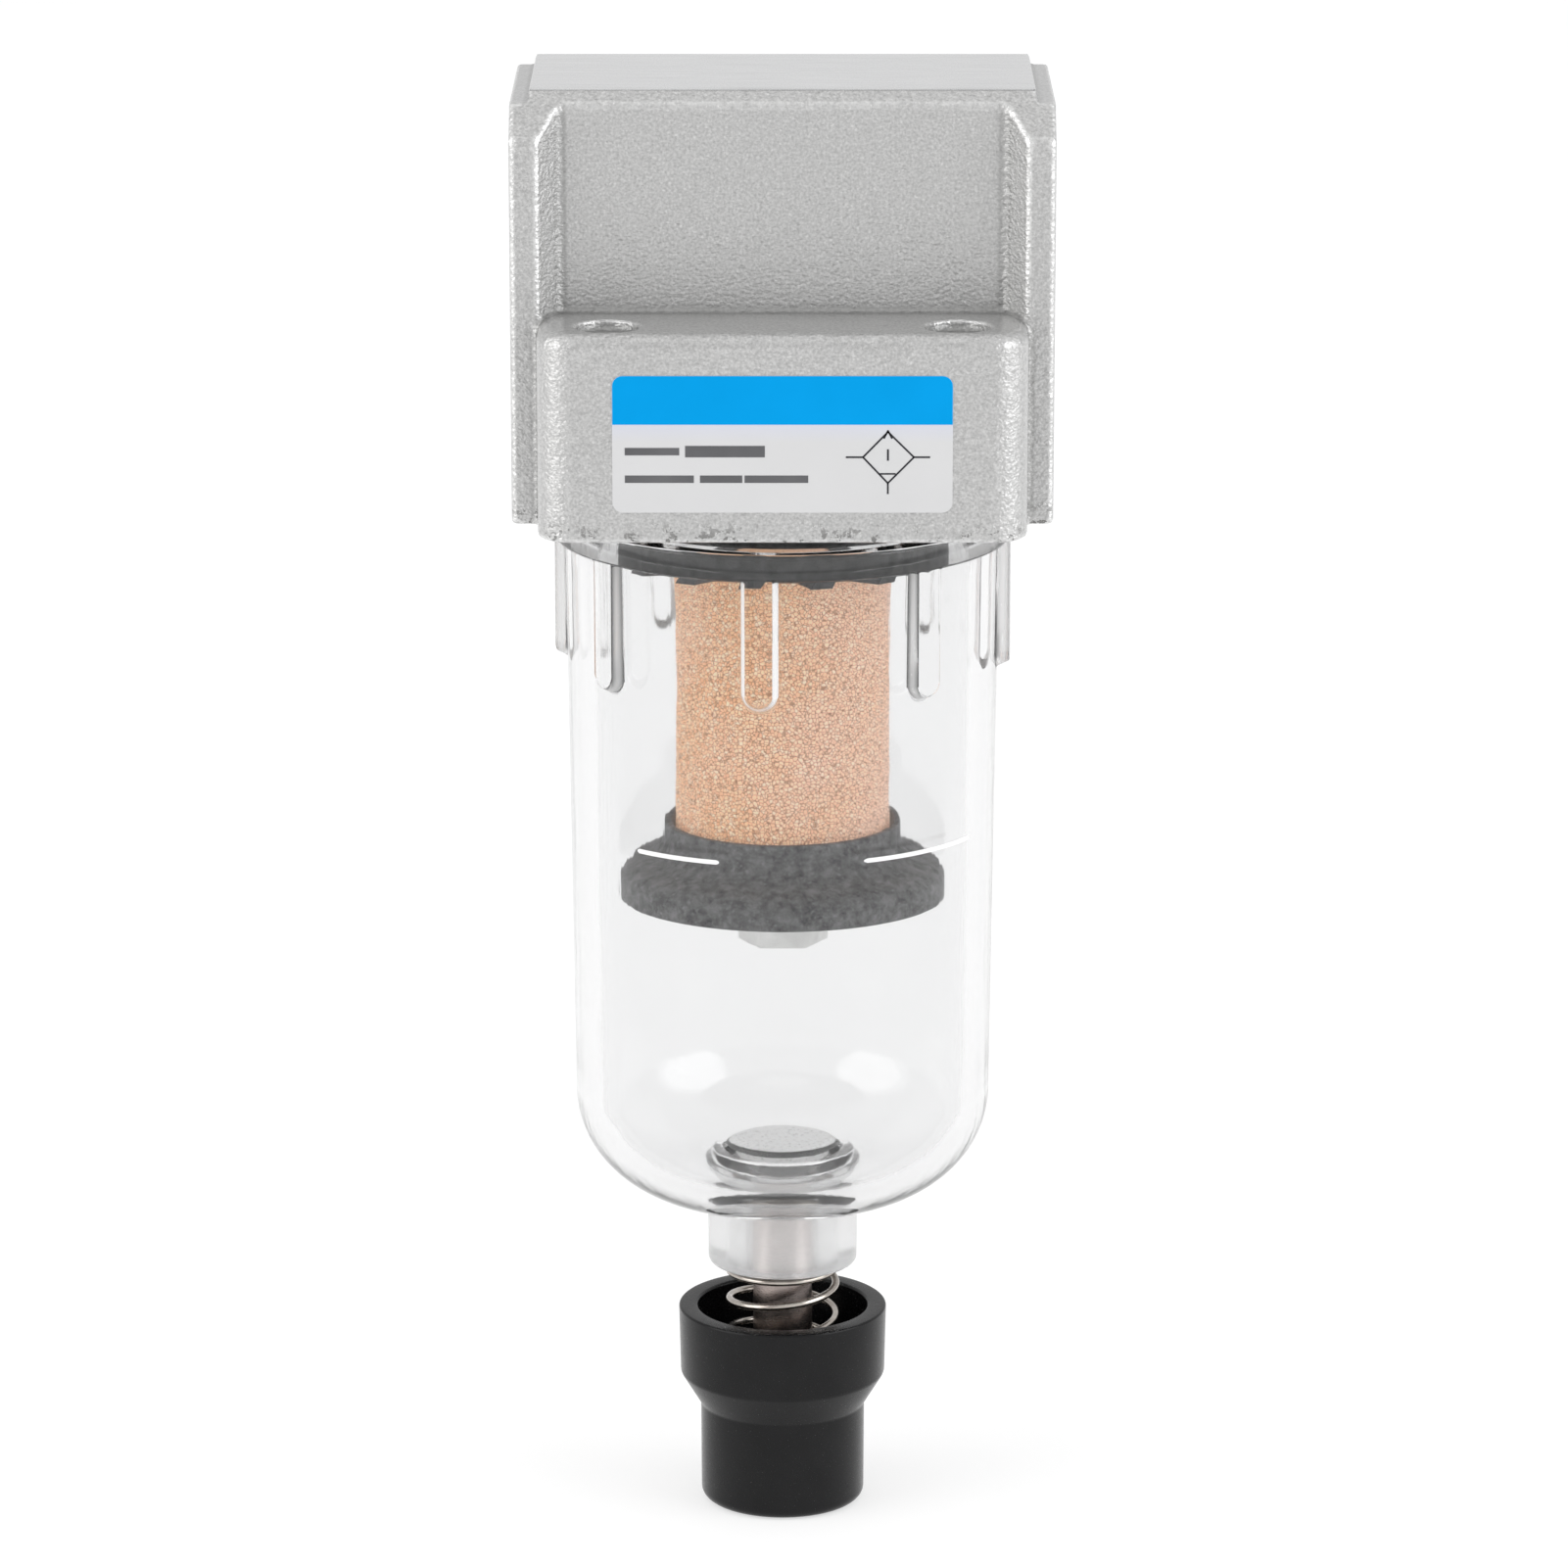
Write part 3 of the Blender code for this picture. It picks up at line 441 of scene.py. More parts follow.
def lathe(name, profile, mats, segments=128, radius=0.15, steps=4, sharp=40.0, closed=True):
    pts = rounded(profile, radius, steps, closed)
    n = len(pts)
    verts = []
    faces = []
    ring_of = []
    for r, z in pts:
        if r < 1e-6:
            ring_of.append((len(verts), True))
            verts.append((0, 0, z * MM))
        else:
            ring_of.append((len(verts), False))
            for k in range(segments):
                a = 2 * math.pi * k / segments
                verts.append((r * math.cos(a) * MM, r * math.sin(a) * MM, z * MM))
    pairs = [(i, (i + 1) % n) for i in range(n if closed else n - 1)]
    for i, j in pairs:
        (a, ax), (b, bx) = ring_of[i], ring_of[j]
        if ax and bx:
            continue
        for k in range(segments):
            l = (k + 1) % segments
            if ax:
                faces.append((a, b + l, b + k))
            elif bx:
                faces.append((a + k, a + l, b))
            else:
                faces.append((a + k, a + l, b + l, b + k))
    ob = add_mesh(name, verts, faces, mats)
    bm = bmesh.new()
    bm.from_mesh(ob.data)
    bmesh.ops.recalc_face_normals(bm, faces=bm.faces)
    bm.to_mesh(ob.data)
    bm.free()
    ob.data.shade_smooth()
    ob.data.set_sharp_from_angle(angle=math.radians(sharp))
    return ob


def arc(cx, cz, radius, start_deg, end_deg, steps):
    return [(cx + radius * math.cos(math.radians(start_deg + (end_deg - start_deg) * i / steps)),
             cz + radius * math.sin(math.radians(start_deg + (end_deg - start_deg) * i / steps)), 0)
            for i in range(steps + 1)]


def oval(cx, cz, width, height, start_deg, end_deg, steps):
    return [(cx + width * math.cos(math.radians(start_deg + (end_deg - start_deg) * i / steps)),
             cz + height * math.sin(math.radians(start_deg + (end_deg - start_deg) * i / steps)))
            for i in range(steps + 1)]


def box_bm(bm, low, high, matrix=Matrix.Identity(4)):
    a, b = Vector(low) * MM, Vector(high) * MM
    made = bmesh.ops.create_cube(bm, size=1.0)["verts"]
    bmesh.ops.scale(bm, verts=made, vec=b - a)
    bmesh.ops.translate(bm, verts=made, vec=(a + b) / 2)
    bmesh.ops.transform(bm, verts=made, matrix=matrix)
    return made


def boolean(target, tool, operation):
    mod = target.modifiers.new("b", 'BOOLEAN')
    mod.operation, mod.solver, mod.object = operation, 'EXACT', tool
    bpy.context.view_layer.update()
    graph = bpy.context.evaluated_depsgraph_get()
    mesh = bpy.data.meshes.new_from_object(target.evaluated_get(graph))
    target.modifiers.remove(mod)
    target.data = mesh
    bpy.data.objects.remove(tool, do_unlink=True)


def place(ob, body, slot_name, *nodes):
    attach(ob, body)
    if nodes:
        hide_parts(*nodes)
    return ob


# ==========================================================================
# housing: a distance field with cast fillets, meshed on a fine grid
# ==========================================================================
def round_min(a, b, r):
    return np.maximum(r, np.minimum(a, b)) - np.hypot(np.maximum(r - a, 0), np.maximum(r - b, 0))


def round_max(a, b, r):
    return -round_min(-a, -b, r)


def rounded_rect(x, y, hx, hy, r):
    qx, qy = np.abs(x) - hx + r, np.abs(y) - hy + r
    return np.hypot(np.maximum(qx, 0), np.maximum(qy, 0)) + np.minimum(np.maximum(qx, qy), 0) - r


def cylinder_z(x, y, z, cx, cy, r, low, high, edge=0.0):
    d = np.hypot(x - cx, y - cy) - r
    ends = np.maximum(low - z, z - high)
    return round_max(d, ends, edge) if edge else np.maximum(d, ends)


def housing_field(x, y, z):
    """Signed distance in millimetres, negative in the metal."""
    ax, ay = np.abs(x), np.abs(y)
    slab = round_max(ax - 20.0, ay - 11.6, 0.45)
    slab = round_max(slab, (ay + z - 120.2) / math.sqrt(2.0), 0.35)
    slab = round_max(slab, z - 112.0, 0.18)
    slab = round_max(slab, 80.0 - z, 0.35)
    # pockets front and back, their side walls lean out
    lean = (ax - 16.45 - 0.638 * (ay - 9.25)) * 0.843
    pocket = round_max(9.25 - ay, lean, 0.45)
    slab = round_max(slab, -pocket, 0.24)
    # the end strips beside the milled pad
    strip = round_max(18.6 - ax, 111.05 - z, 0.35)
    slab = round_max(slab, -strip, 0.15)
    # bonnet
    bonnet = rounded_rect(x, y, 17.95, 18.0, 2.75)
    bonnet = round_max(bonnet, z - 95.5, 1.05)
    bonnet = round_max(bonnet, 80.0 - z, 0.35)
    body = round_min(slab, bonnet, 0.55)
    # dished recesses on the bonnet
    dimple = np.hypot(ax - 12.8, ay - 14.5) - 2.4
    dimple = round_max(dimple, 94.7 - z, 0.5)
    body = round_max(body, -dimple, 0.22)
    # bowl socket, nozzle and air ways
    socket = round_max(np.hypot(x, y) - 16.3, z - 91.8, 0.4)
    body = round_max(body, -socket, 0.25)
    nozzle = cylinder_z(x, y, z, 0, 0, 7.3, 81.0, 94.0, 0.3)
    body = round_min(body, nozzle, 0.5)
    body = np.maximum(body, -cylinder_z(x, y, z, 0, 0, 4.6, 70.0, 101.0))
    cross = np.maximum(np.hypot(y, z - 101.0) - 4.9, np.maximum(-5.1 - x, x - 9.0))
    body = np.maximum(body, -cross)
    body = np.maximum(body, -cylinder_z(x, y, z, 0, 0, 3.15, 102.5, 109.4))
    port = np.maximum(np.hypot(y, z - 101.0) - 7.0, 8.0 - ax)
    body = round_max(body, -port, 0.2)
    drop = cylinder_z(x, y, z, -10.9, 0, 2.9, 90.0, 101.0)
    body = np.maximum(body, -drop)
    return body


def field_mesh(name, field, low, high, step, mats, reduce_to=None):
    """Surface nets on a grid, then each point is drawn onto the surface."""
    axes = [np.arange(low[k], high[k] + step, step) for k in range(3)]
    gx, gy, gz = np.meshgrid(*axes, indexing='ij')
    values = field(gx, gy, gz).astype(np.float32)
    inside = values < 0
    shape = np.array(values.shape) - 1
    corners = [(i, j, k) for i in (0, 1) for j in (0, 1) for k in (0, 1)]
    count = np.zeros(shape, np.int8)
    for i, j, k in corners:
        count += inside[i:i + shape[0], j:j + shape[1], k:k + shape[2]]
    active = (count > 0) & (count < 8)
    index = -np.ones(shape, np.int64)
    cells = np.argwhere(active)
    index[active] = np.arange(len(cells))
    total = np.zeros((len(cells), 3))
    hits = np.zeros(len(cells))
    for a in corners:
        for axis in range(3):
            if a[axis] == 1:
                continue
            b = list(a)
            b[axis] = 1
            va = values[cells[:, 0] + a[0], cells[:, 1] + a[1], cells[:, 2] + a[2]]
            vb = values[cells[:, 0] + b[0], cells[:, 1] + b[1], cells[:, 2] + b[2]]
            cross = (va < 0) != (vb < 0)
            t = np.where(cross, va / np.where(cross, va - vb, 1.0), 0.0)
            point = np.array(a, float)[None, :] + t[:, None] * (np.array(b, float) - np.array(a, float))[None, :]
            total += np.where(cross[:, None], point, 0.0)
            hits += cross
    points = (cells + total / hits[:, None]) * step + np.array(low)[None, :]

    def gradient(p):
        e = 0.02
        g = np.empty_like(p)
        for k in range(3):
            d = np.zeros(3)
            d[k] = e
            hi, lo = p + d, p - d
            g[:, k] = field(hi[:, 0], hi[:, 1], hi[:, 2]) - field(lo[:, 0], lo[:, 1], lo[:, 2])
        return g / (2 * e)

    centre = points.copy()
    for _ in range(4):
        g = gradient(points)
        d = field(points[:, 0], points[:, 1], points[:, 2])
        points = points - g * (d / np.maximum((g * g).sum(1), 0.2))[:, None] * 0.9
        points = np.clip(points, centre - step * 0.75, centre + step * 0.75)
    faces = []
    for axis in range(3):
        o1, o2 = [k for k in range(3) if k != axis]
        lo_in = np.take(inside, np.arange(inside.shape[axis] - 1), axis=axis)
        hi_in = np.take(inside, np.arange(1, inside.shape[axis]), axis=axis)
        cross = np.argwhere(lo_in != hi_in)
        ok = (cross[:, o1] > 0) & (cross[:, o2] > 0) & (cross[:, o1] < shape[o1]) & (cross[:, o2] < shape[o2])
        cross = cross[ok]
        flip = lo_in[cross[:, 0], cross[:, 1], cross[:, 2]]
        quad = []
        for da, db in ((0, 0), (-1, 0), (-1, -1), (0, -1)):
            c = cross.copy()
            c[:, o1] += da
            c[:, o2] += db
            quad.append(index[c[:, 0], c[:, 1], c[:, 2]])
        quad = np.stack(quad, 1)
        if axis == 1:
            flip = ~flip
        quad[flip] = quad[flip][:, ::-1]
        faces.append(quad[:, ::-1])
    faces = np.concatenate(faces)
    mesh = bpy.data.meshes.new(name)
    mesh.vertices.add(len(points))
    mesh.vertices.foreach_set("co", (points * MM).astype(np.float32).ravel())
    mesh.loops.add(len(faces) * 4)
    mesh.loops.foreach_set("vertex_index", faces.astype(np.int32).ravel())
    mesh.polygons.add(len(faces))
    mesh.polygons.foreach_set("loop_start", np.arange(0, len(faces) * 4, 4, dtype=np.int32))
    mesh.update(calc_edges=True)
    mesh.validate()
    ob = bpy.data.objects.new(name, mesh)
    scene.collection.objects.link(ob)
    if reduce_to:
        thin = ob.modifiers.new("thin", 'DECIMATE')
        thin.ratio = min(1.0, reduce_to / (2.0 * len(faces)))
        bpy.context.view_layer.update()
        graph = bpy.context.evaluated_depsgraph_get()
        mesh = bpy.data.meshes.new_from_object(ob.evaluated_get(graph))
        ob.modifiers.remove(thin)
        ob.data = mesh
    for mat in (mats if isinstance(mats, (list, tuple)) else [mats]):
        mesh.materials.append(mat)
    mesh.shade_smooth()
    p = np.empty(len(mesh.vertices) * 3, np.float32)
    mesh.vertices.foreach_get("co", p)
    normals = gradient(p.reshape(-1, 3).astype(float) / MM)
    normals /= np.maximum(np.linalg.norm(normals, axis=1), 1e-9)[:, None]
    mesh.normals_split_custom_set_from_vertices(normals.tolist())
    # how sharply the surface turns: above zero on outside edges, below zero in corners
    q, h = p.reshape(-1, 3).astype(float) / MM, 0.22
    turn = -6.0 * field(q[:, 0], q[:, 1], q[:, 2])
    for k in range(3):
        for sign in (-h, h):
            d = np.zeros(3)
            d[k] = sign
            r = q + d
            turn += field(r[:, 0], r[:, 1], r[:, 2])
    attr = mesh.attributes.new("edge", 'FLOAT', 'POINT')
    attr.data.foreach_set("value", np.clip(turn / (h * h) / 3.0, -1.0, 1.0).astype(np.float32))
    print(name, len(points), "points,", len(mesh.polygons), "faces")
    return ob


housing = field_mesh("housing_casting", housing_field, (-20.6, -18.6, 79.4), (20.6, 18.6, 112.6),
                     0.28, [PAINT, BARE], 150000)
place(housing, "head", "housing_paint", "housing")

# machined faces inside the socket and air ways take the bare metal
mesh = housing.data
for poly in mesh.polygons:
    c = poly.center / MM
    n = poly.normal
    r = math.hypot(c.x, c.y)
    if r < 16.6 and c.z < 111 and abs(c.x) < 19.7 and not (abs(n.y) > 0.9 and abs(c.y) > 9.0) and \
            not (c.z > 95.3 and abs(c.y) > 8.0) and not (c.z > 108.5):
        poly.material_index = 1


def port_thread(name, side):
    """A G1/4 internal thread as a sleeve with a real helical groove."""
    around = 96
    pitch, depth = 1.337, 0.82
    length = 11.6
    rows = int(length / 0.11)
    verts, faces = [], []
    outer, face_x = 7.04, 19.98
    for i in range(rows + 1):
        s = length * i / rows
        for k in range(around):
            a = 2 * math.pi * k / around
            phase = (s / pitch + k / around) % 1.0
            tri = abs(2 * phase - 1)
            groove = min(1.0, max(0.0, (tri - 0.12) / 0.76))
            r = 6.58 - depth * groove
            r = max(r, 6.95 - s) if s < 1.3 else r
            if s > length - 1.4:
                r = 5.76 + (r - 5.76) * max(0.0, (length - s) / 1.4)
            verts.append(((side * (face_x - s)) * MM, r * math.cos(a) * MM, (101.0 + r * math.sin(a)) * MM))
    base = len(verts)
    for s in (length, 0.0):
        for k in range(around):
            a = 2 * math.pi * k / around
            verts.append(((side * (face_x - s)) * MM, outer * math.cos(a) * MM, (101.0 + outer * math.sin(a)) * MM))
    rings = rows + 3
    for i in range(rings):
        j = (i + 1) % rings
        for k in range(around):
            l = (k + 1) % around
            faces.append((i * around + k, i * around + l, j * around + l, j * around + k))
    ob = add_mesh(name, verts, faces, BARE)
    bm = bmesh.new()
    bm.from_mesh(ob.data)
    bmesh.ops.recalc_face_normals(bm, faces=bm.faces)
    bm.to_mesh(ob.data)
    bm.free()
    ob.data.shade_smooth()
    ob.data.set_sharp_from_angle(angle=math.radians(50))
    return place(ob, "head", "brass")


port_thread("inlet_thread", -1)
port_thread("outlet_thread", 1)


# ==========================================================================
# bowl: one closed skin on a polar grid, ribs and thread raised from it
# ==========================================================================
def make_bowl():
    outer = [(13.85, 91.4), (13.85, 89.95), (15.1, 89.95)]
    outer += [(15.1, 89.5 - 0.13 * i) for i in range(int((89.5 - 80.2) / 0.13))]
    outer += [(15.1, 79.6)]
    collar = rounded([(15.1, 78.95, 0.3), (17.3, 78.95, 0.2), (17.3, 76.9, 0.25), (16.42, 76.9, 0.25), (16.38, 75.0, 0)],
                     0.2, 5, closed=False)
    outer = outer + collar
    z = 74.6
    while z > 70.2:
        outer.append((16.38 - (75.0 - z) * 0.0127, z))
        z -= 0.4
    while z > 65.6:
        outer.append((16.38 - (75.0 - z) * 0.0127, z))
        z -= 0.12
    while z > 34.2:
        outer.append((16.38 - (75.0 - z) * 0.0127, z))
        z -= 2.0
    outer += oval(6.87, 33.4, 9.0, 8.4, 0, -90, 30)
    outer += [(p[0], p[1]) for p in rounded([(6.4, 25.0, 0), (5.76, 25.0, 0.25), (5.72, 19.3, 0.35), (2.75, 19.3, 0.2),
                                             (2.75, 25.4, 0.15), (4.62, 25.4, 0.2), (4.62, 28.1, 0.2), (5.45, 28.05, 0.45), (5.95, 27.0, 0.5), (6.4, 27.0, 0)],
                                            0.2, 4, closed=False)]
    inner = oval(6.87, 33.4, 7.0, 6.4, -90, 0, 26)
    inner += [(13.87 + (z - 33.4) * 0.0062, z) for z in (38, 44, 50, 56, 62, 68, 73)]
    inner += [(p[0], p[1]) for p in rounded([(14.12, 75.0, 0), (14.14, 76.6, 0.8), (13.2, 79.2, 0.8), (13.2, 91.4, 0.2), (13.85, 91.4, 0.2)],
                                            0.3, 4, closed=False)][:-1]
    profile = outer + inner
    # angles, closer together at the sides of each rib
    half = 1.35 / 16.9
    angles = set()
    for k in range(8):
        mid = math.radians(-5.9 + 45 * k) - math.pi / 2
        for s in (-1, 1):
            for f in (0.0, 0.25, 0.45, 0.58, 0.66, 0.74, 0.81, 0.88, 0.94, 1.0, 1.06, 1.13, 1.3):
                angles.add(round((mid + s * half * f) % (2 * math.pi), 7))
        step = (math.radians(45) - 2.6 * half) / 14
        for i in range(1, 14):
            angles.add(round((mid + 1.3 * half + step * i) % (2 * math.pi), 7))
    angles = np.array(sorted(angles))
    mids = [math.radians(-5.9 + 45 * k) - math.pi / 2 for k in range(8)]

    def smooth(t):
        t = np.clip(t, 0, 1)
        return t * t * (3 - 2 * t)

    verts = []
    sides = []
    n_outer = len(outer)
    for i, (r, z) in enumerate(profile):
        radius = np.full(len(angles), r)
        side = np.zeros(len(angles))
        if i < n_outer and 65.0 < z < 77.6 and r > 15.5:
            painted_lift = np.zeros(len(angles))
            for mid in mids:
                d = (angles - mid + math.pi) % (2 * math.pi) - math.pi
                s = np.abs(d) * 16.9
                below = max(0.0, 68.25 - z)
                reach = np.hypot(s, below)
                soft = 0.50 + 0.25 * min(1.0, below / 1.35)
                painted_lift = np.maximum(painted_lift, smooth((1.35 + 0.12 - reach) / soft))
            radius = np.maximum(radius, r + (17.25 - r) * painted_lift)
            if z < 76.8:
                side = 4.0 * painted_lift * (1.0 - painted_lift)
        if i < n_outer and 80.2 < z < 88.6 and abs(r - 15.1) < 0.01:
            turn = (z - 81.5) / 2.0
            phase = (turn - angles / (2 * math.pi)) % 1.0
            phase = np.minimum(phase, 1 - phase) * 2.0      # axial distance from the ridge, mm
            along = (z - 81.5) / 2.0
            fade = smooth(np.array((along + 0.35) / 0.35)) * smooth(np.array((3.0 - along) / 0.35))
            radius = radius + 0.7 * smooth((0.72 - phase) / 0.42) * fade
        sides.append(side)
        for a, rr in zip(angles, radius):
            verts.append((rr * math.cos(a) * MM, rr * math.sin(a) * MM, z * MM))
    count, around = len(profile), len(angles)
    faces = []
    for i in range(count):
        j = (i + 1) % count
        for k in range(around):
            l = (k + 1) % around
            faces.append((i * around + k, i * around + l, j * around + l, j * around + k))
    ob = add_mesh("bowl_clear", verts, faces, CLEAR)
    bm = bmesh.new()
    bm.from_mesh(ob.data)
    bmesh.ops.recalc_face_normals(bm, faces=bm.faces)
    bm.to_mesh(ob.data)
    bm.free()
    ob.data.shade_smooth()
    ob.data.set_sharp_from_angle(angle=math.radians(38))
    attr = ob.data.attributes.new("side", 'FLOAT', 'POINT')
    attr.data.foreach_set("value", np.concatenate(sides).astype(np.float32))
    print("bowl", len(ob.data.polygons), "faces")
    return place(ob, "bowl", "clear_polycarbonate", "bowl")


make_bowl()


# ==========================================================================
# element: a tube whose outer skin is made of small fused balls
# ==========================================================================
def make_element():
    rng = np.random.default_rng(7)
    radius, low, high = 8.05, 52.6, 76.8
    ball = 0.36
    seeds = []
    rows = int((high - low) / (ball * 0.84))
    per = int(2 * math.pi * radius / ball)
    for i in range(rows + 1):
        for k in range(per):
            a = (k + 0.5 * (i % 2)) / per * 2 * math.pi + rng.normal(0, 0.20) * ball / radius
            z = low + i * (high - low) / rows + rng.normal(0, 0.20) * ball
            seeds.append((a, z, rng.uniform(0.85, 1.15)))
    tree = kdtree.KDTree(len(seeds) * 2)
    n = 0
    for a, z, s in seeds:
        aa = a % (2 * math.pi)
        tree.insert((aa * radius, z, 0), n)
        n += 1
        tree.insert(((aa - 2 * math.pi if aa > math.pi else aa + 2 * math.pi) * radius, z, 0), n)
        n += 1
    tree.balance()
    around = 420
    rows_z = 200
    verts, faces = [], []
    for i in range(rows_z + 1):
        z = low + (high - low) * i / rows_z
        for k in range(around):
            a = 2 * math.pi * k / around
            found = tree.find((a * radius, z, 0))
            d = found[2] / (ball * 0.62)
            h = math.sqrt(max(0.0, 1 - min(1.0, d) ** 2)) * 0.13
            edge = min(1.0, (z - low) / 0.3, (high - z) / 0.3)
            r = radius - 0.10 + h - (1 - edge) * 0.2
            verts.append((r * math.cos(a) * MM, r * math.sin(a) * MM, z * MM))
    base = len(verts)
    for z in (high, low):
        for k in range(around):
            a = 2 * math.pi * k / around
            verts.append((5.6 * math.cos(a) * MM, 5.6 * math.sin(a) * MM, z * MM))
    rings = rows_z + 3
    for i in range(rings):
        j = (i + 1) % rings
        for k in range(around):
            l = (k + 1) % around
            faces.append((i * around + k, i * around + l, j * around + l, j * around + k))
    ob = add_mesh("sintered_element", verts, faces, BRONZE, sharp=60)
    return place(ob, "element_stack", "sintered_bronze", "filter_element")


make_element()


# ==========================================================================
# deflector and baffle
# ==========================================================================
def make_deflector():
    count = 15
    plate = lathe("deflector_vanes", [(5.0, 80.6), (12.3, 80.6, 0.4), (12.3, 77.9, 0.1), (12.2, 77.8, 0.1), (12.2, 76.4, 0.2), (11.3, 76.4),
                                      (11.3, 78.6), (9.3, 78.6), (9.3, 76.0), (8.45, 76.0), (8.45, 78.6), (5.0, 78.6)], NYLON, 120, 0.15, 3)
    bm = bmesh.new()
    for k in range(count):
        turn = Matrix.Rotation(2 * math.pi * (k + 0.5) / count, 4, 'Z')
        box_bm(bm, (9.6, -1.2, 78.0), (11.0, 1.2, 81.2), turn)
    boolean(plate, from_bm("slots", bm, NYLON), 'DIFFERENCE')
    bm = bmesh.new()
    slope = math.tan(math.radians(28))
    for k in range(count):
        turn = Matrix.Rotation(2 * math.pi * k / count, 4, 'Z')
        low, high = 75.5, 79.2
        w = slope * (high - low) / 2
        prof = [(-0.8 - w, low), (0.75 - w, low), (0.6 + w, high), (-0.6 + w, high)]
        ends = []
        for x in (8.9, 12.1):
            ends.append([bm.verts.new(turn @ Vector((x, y, z)) * MM) for y, z in prof])
        bm.faces.new(ends[0])
        bm.faces.new(ends[1][::-1])
        for i in range(4):
            j = (i + 1) % 4
            bm.faces.new((ends[0][i], ends[1][i], ends[1][j], ends[0][j]))
    boolean(plate, from_bm("blades", bm, NYLON), 'UNION')
    bev = plate.modifiers.new("edge", 'BEVEL')
    bev.width, bev.segments, bev.limit_method, bev.angle_limit = 0.10 * MM, 2, 'ANGLE', math.radians(50)
    plate.data.shade_smooth()
    plate.data.set_sharp_from_angle(angle=math.radians(40))
    return place(plate, "head", "dark_nylon", "deflector")


make_deflector()

baffle = lathe("baffle_umbrella", [(2.35, 50.8), (8.45, 50.8, 0.3), (8.45, 54.9), (9.0, 54.9), (9.12, 53.1, 0.6), (10.3, 52.2, 0.8),
                                   (11.8, 51.55, 0.8), (12.35, 50.9, 0.5), (12.35, 49.15), (11.45, 49.15), (11.15, 49.85, 0.3),
                                   (5.0, 49.85, 0.6), (4.6, 47.2, 0.3), (2.35, 47.2)], BAFFLE, 128, 0.12, 4)
place(baffle, "baffle_screw", "dark_nylon", "baffle")

# ==========================================================================
# drain
# ==========================================================================
head = lathe("valve_head_disc", [(0, 29.0), (3.72, 29.0, 0.08), (3.82, 28.88, 0.06), (4.18, 28.9, 0.15), (4.46, 28.72, 0.18), (4.40, 28.4, 0.1), (3.8, 28.2, 0.1),
                                 (3.6, 27.3, 0.1), (2.58, 27.3), (2.58, 28.1), (0, 28.1)], DISC, 128, 0.1, 4, closed=False)
place(head, "drain_valve", "bright_steel", "valve_head")


def o_ring(name, radius, z, wire, mat, body, slot_name, node):
    pts = [(radius + wire * math.cos(2 * math.pi * i / 20), z + wire * math.sin(2 * math.pi * i / 20), 0) for i in range(20)]
    ob = lathe(name, pts, mat, 128)
    return place(ob, body, slot_name, node)


o_ring("valve_seal_ring", 3.45, 26.35, 0.66, PALE_RUBBER, "drain_valve", "black_rubber", "valve_seal")
o_ring("bowl_seal_ring", 14.62, 90.87, 0.62, RUBBER, "bowl_ring", "black_rubber", "bowl_o_ring")

stem = lathe("stem_tube", [(1.2, 27.8), (2.28, 27.8, 0.15), (2.28, 2.2, 0.25), (1.2, 2.2)], STEM, 72, 0.1, 3)
bm = bmesh.new()
bmesh.ops.create_cone(bm, cap_ends=True, segments=24, radius1=0.55 * MM, radius2=0.55 * MM, depth=8 * MM,
                      matrix=Matrix.Translation((0, 0, 24.0 * MM)) @ Matrix.Rotation(math.pi / 2, 4, 'Y'))
boolean(stem, from_bm("cross", bm, STEM), 'DIFFERENCE')
stem.data.shade_smooth()
stem.data.set_sharp_from_angle(angle=math.radians(40))
place(stem, "drain_valve", "bright_steel", "valve_stem")

knob = lathe("push_knob", [(8.03, 15.66, 0.18), (7.9, 10.3, 0.7), (6.34, 7.75, 0.5), (6.3, 0.0, 1.45), (4.6, 0.0, 0.3), (4.6, 6.6),
                           (2.62, 6.6), (2.62, 8.8), (6.3, 8.8, 0.5), (6.56, 15.66, 0.22)], BLACK, 160, 0.15, 6)
place(knob, "knob", "black_plastic", "drain_knob")


def make_spring():
    """Bright wire, one closed coil at each end, its ends cut square."""
    wire, mean = 0.30, 4.12
    top, bottom = 19.0, 10.02
    lead, active_turns = 0.52, 3.1
    total = active_turns + 2
    steps = int(total * 56)
    sides = 12
    verts, faces = [], []
    for i in range(steps + 1):
        t = total * i / steps
        active = top - bottom - 2 * lead

        def height(u):
            if u < 1:
                return bottom + lead * u
            if u > total - 1:
                return bottom + lead + active + lead * (u - total + 1)
            return bottom + lead + active * (u - 1) / active_turns
        # ease the change of pitch
        z = sum(height(min(total, max(0, t + d))) for d in (-0.14, -0.07, 0, 0.07, 0.14)) / 5
        a = 2 * math.pi * t + 2.2
        radial = Vector((math.cos(a), math.sin(a), 0))
        centre = radial * mean + Vector((0, 0, z))
        for k in range(sides):
            b = 2 * math.pi * k / sides
            p = centre + radial * (wire * math.cos(b)) + Vector((0, 0, wire * math.sin(b)))
            verts.append(tuple(p * MM))
    for i in range(steps):
        for k in range(sides):
            l = (k + 1) % sides
            faces.append((i * sides + k, i * sides + l, (i + 1) * sides + l, (i + 1) * sides + k))
    faces.append(tuple(range(sides))[::-1])
    faces.append(tuple(steps * sides + k for k in range(sides)))
    ob = add_mesh("return_spring", verts, faces, WIRE, sharp=50)
    bm = bmesh.new()
    bm.from_mesh(ob.data)
    bmesh.ops.recalc_face_normals(bm, faces=bm.faces)
    bm.to_mesh(ob.data)
    bm.free()
    place(ob, "bowl", "spring_steel", "drain_spring")
    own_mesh(ob)
    return ob


make_spring()

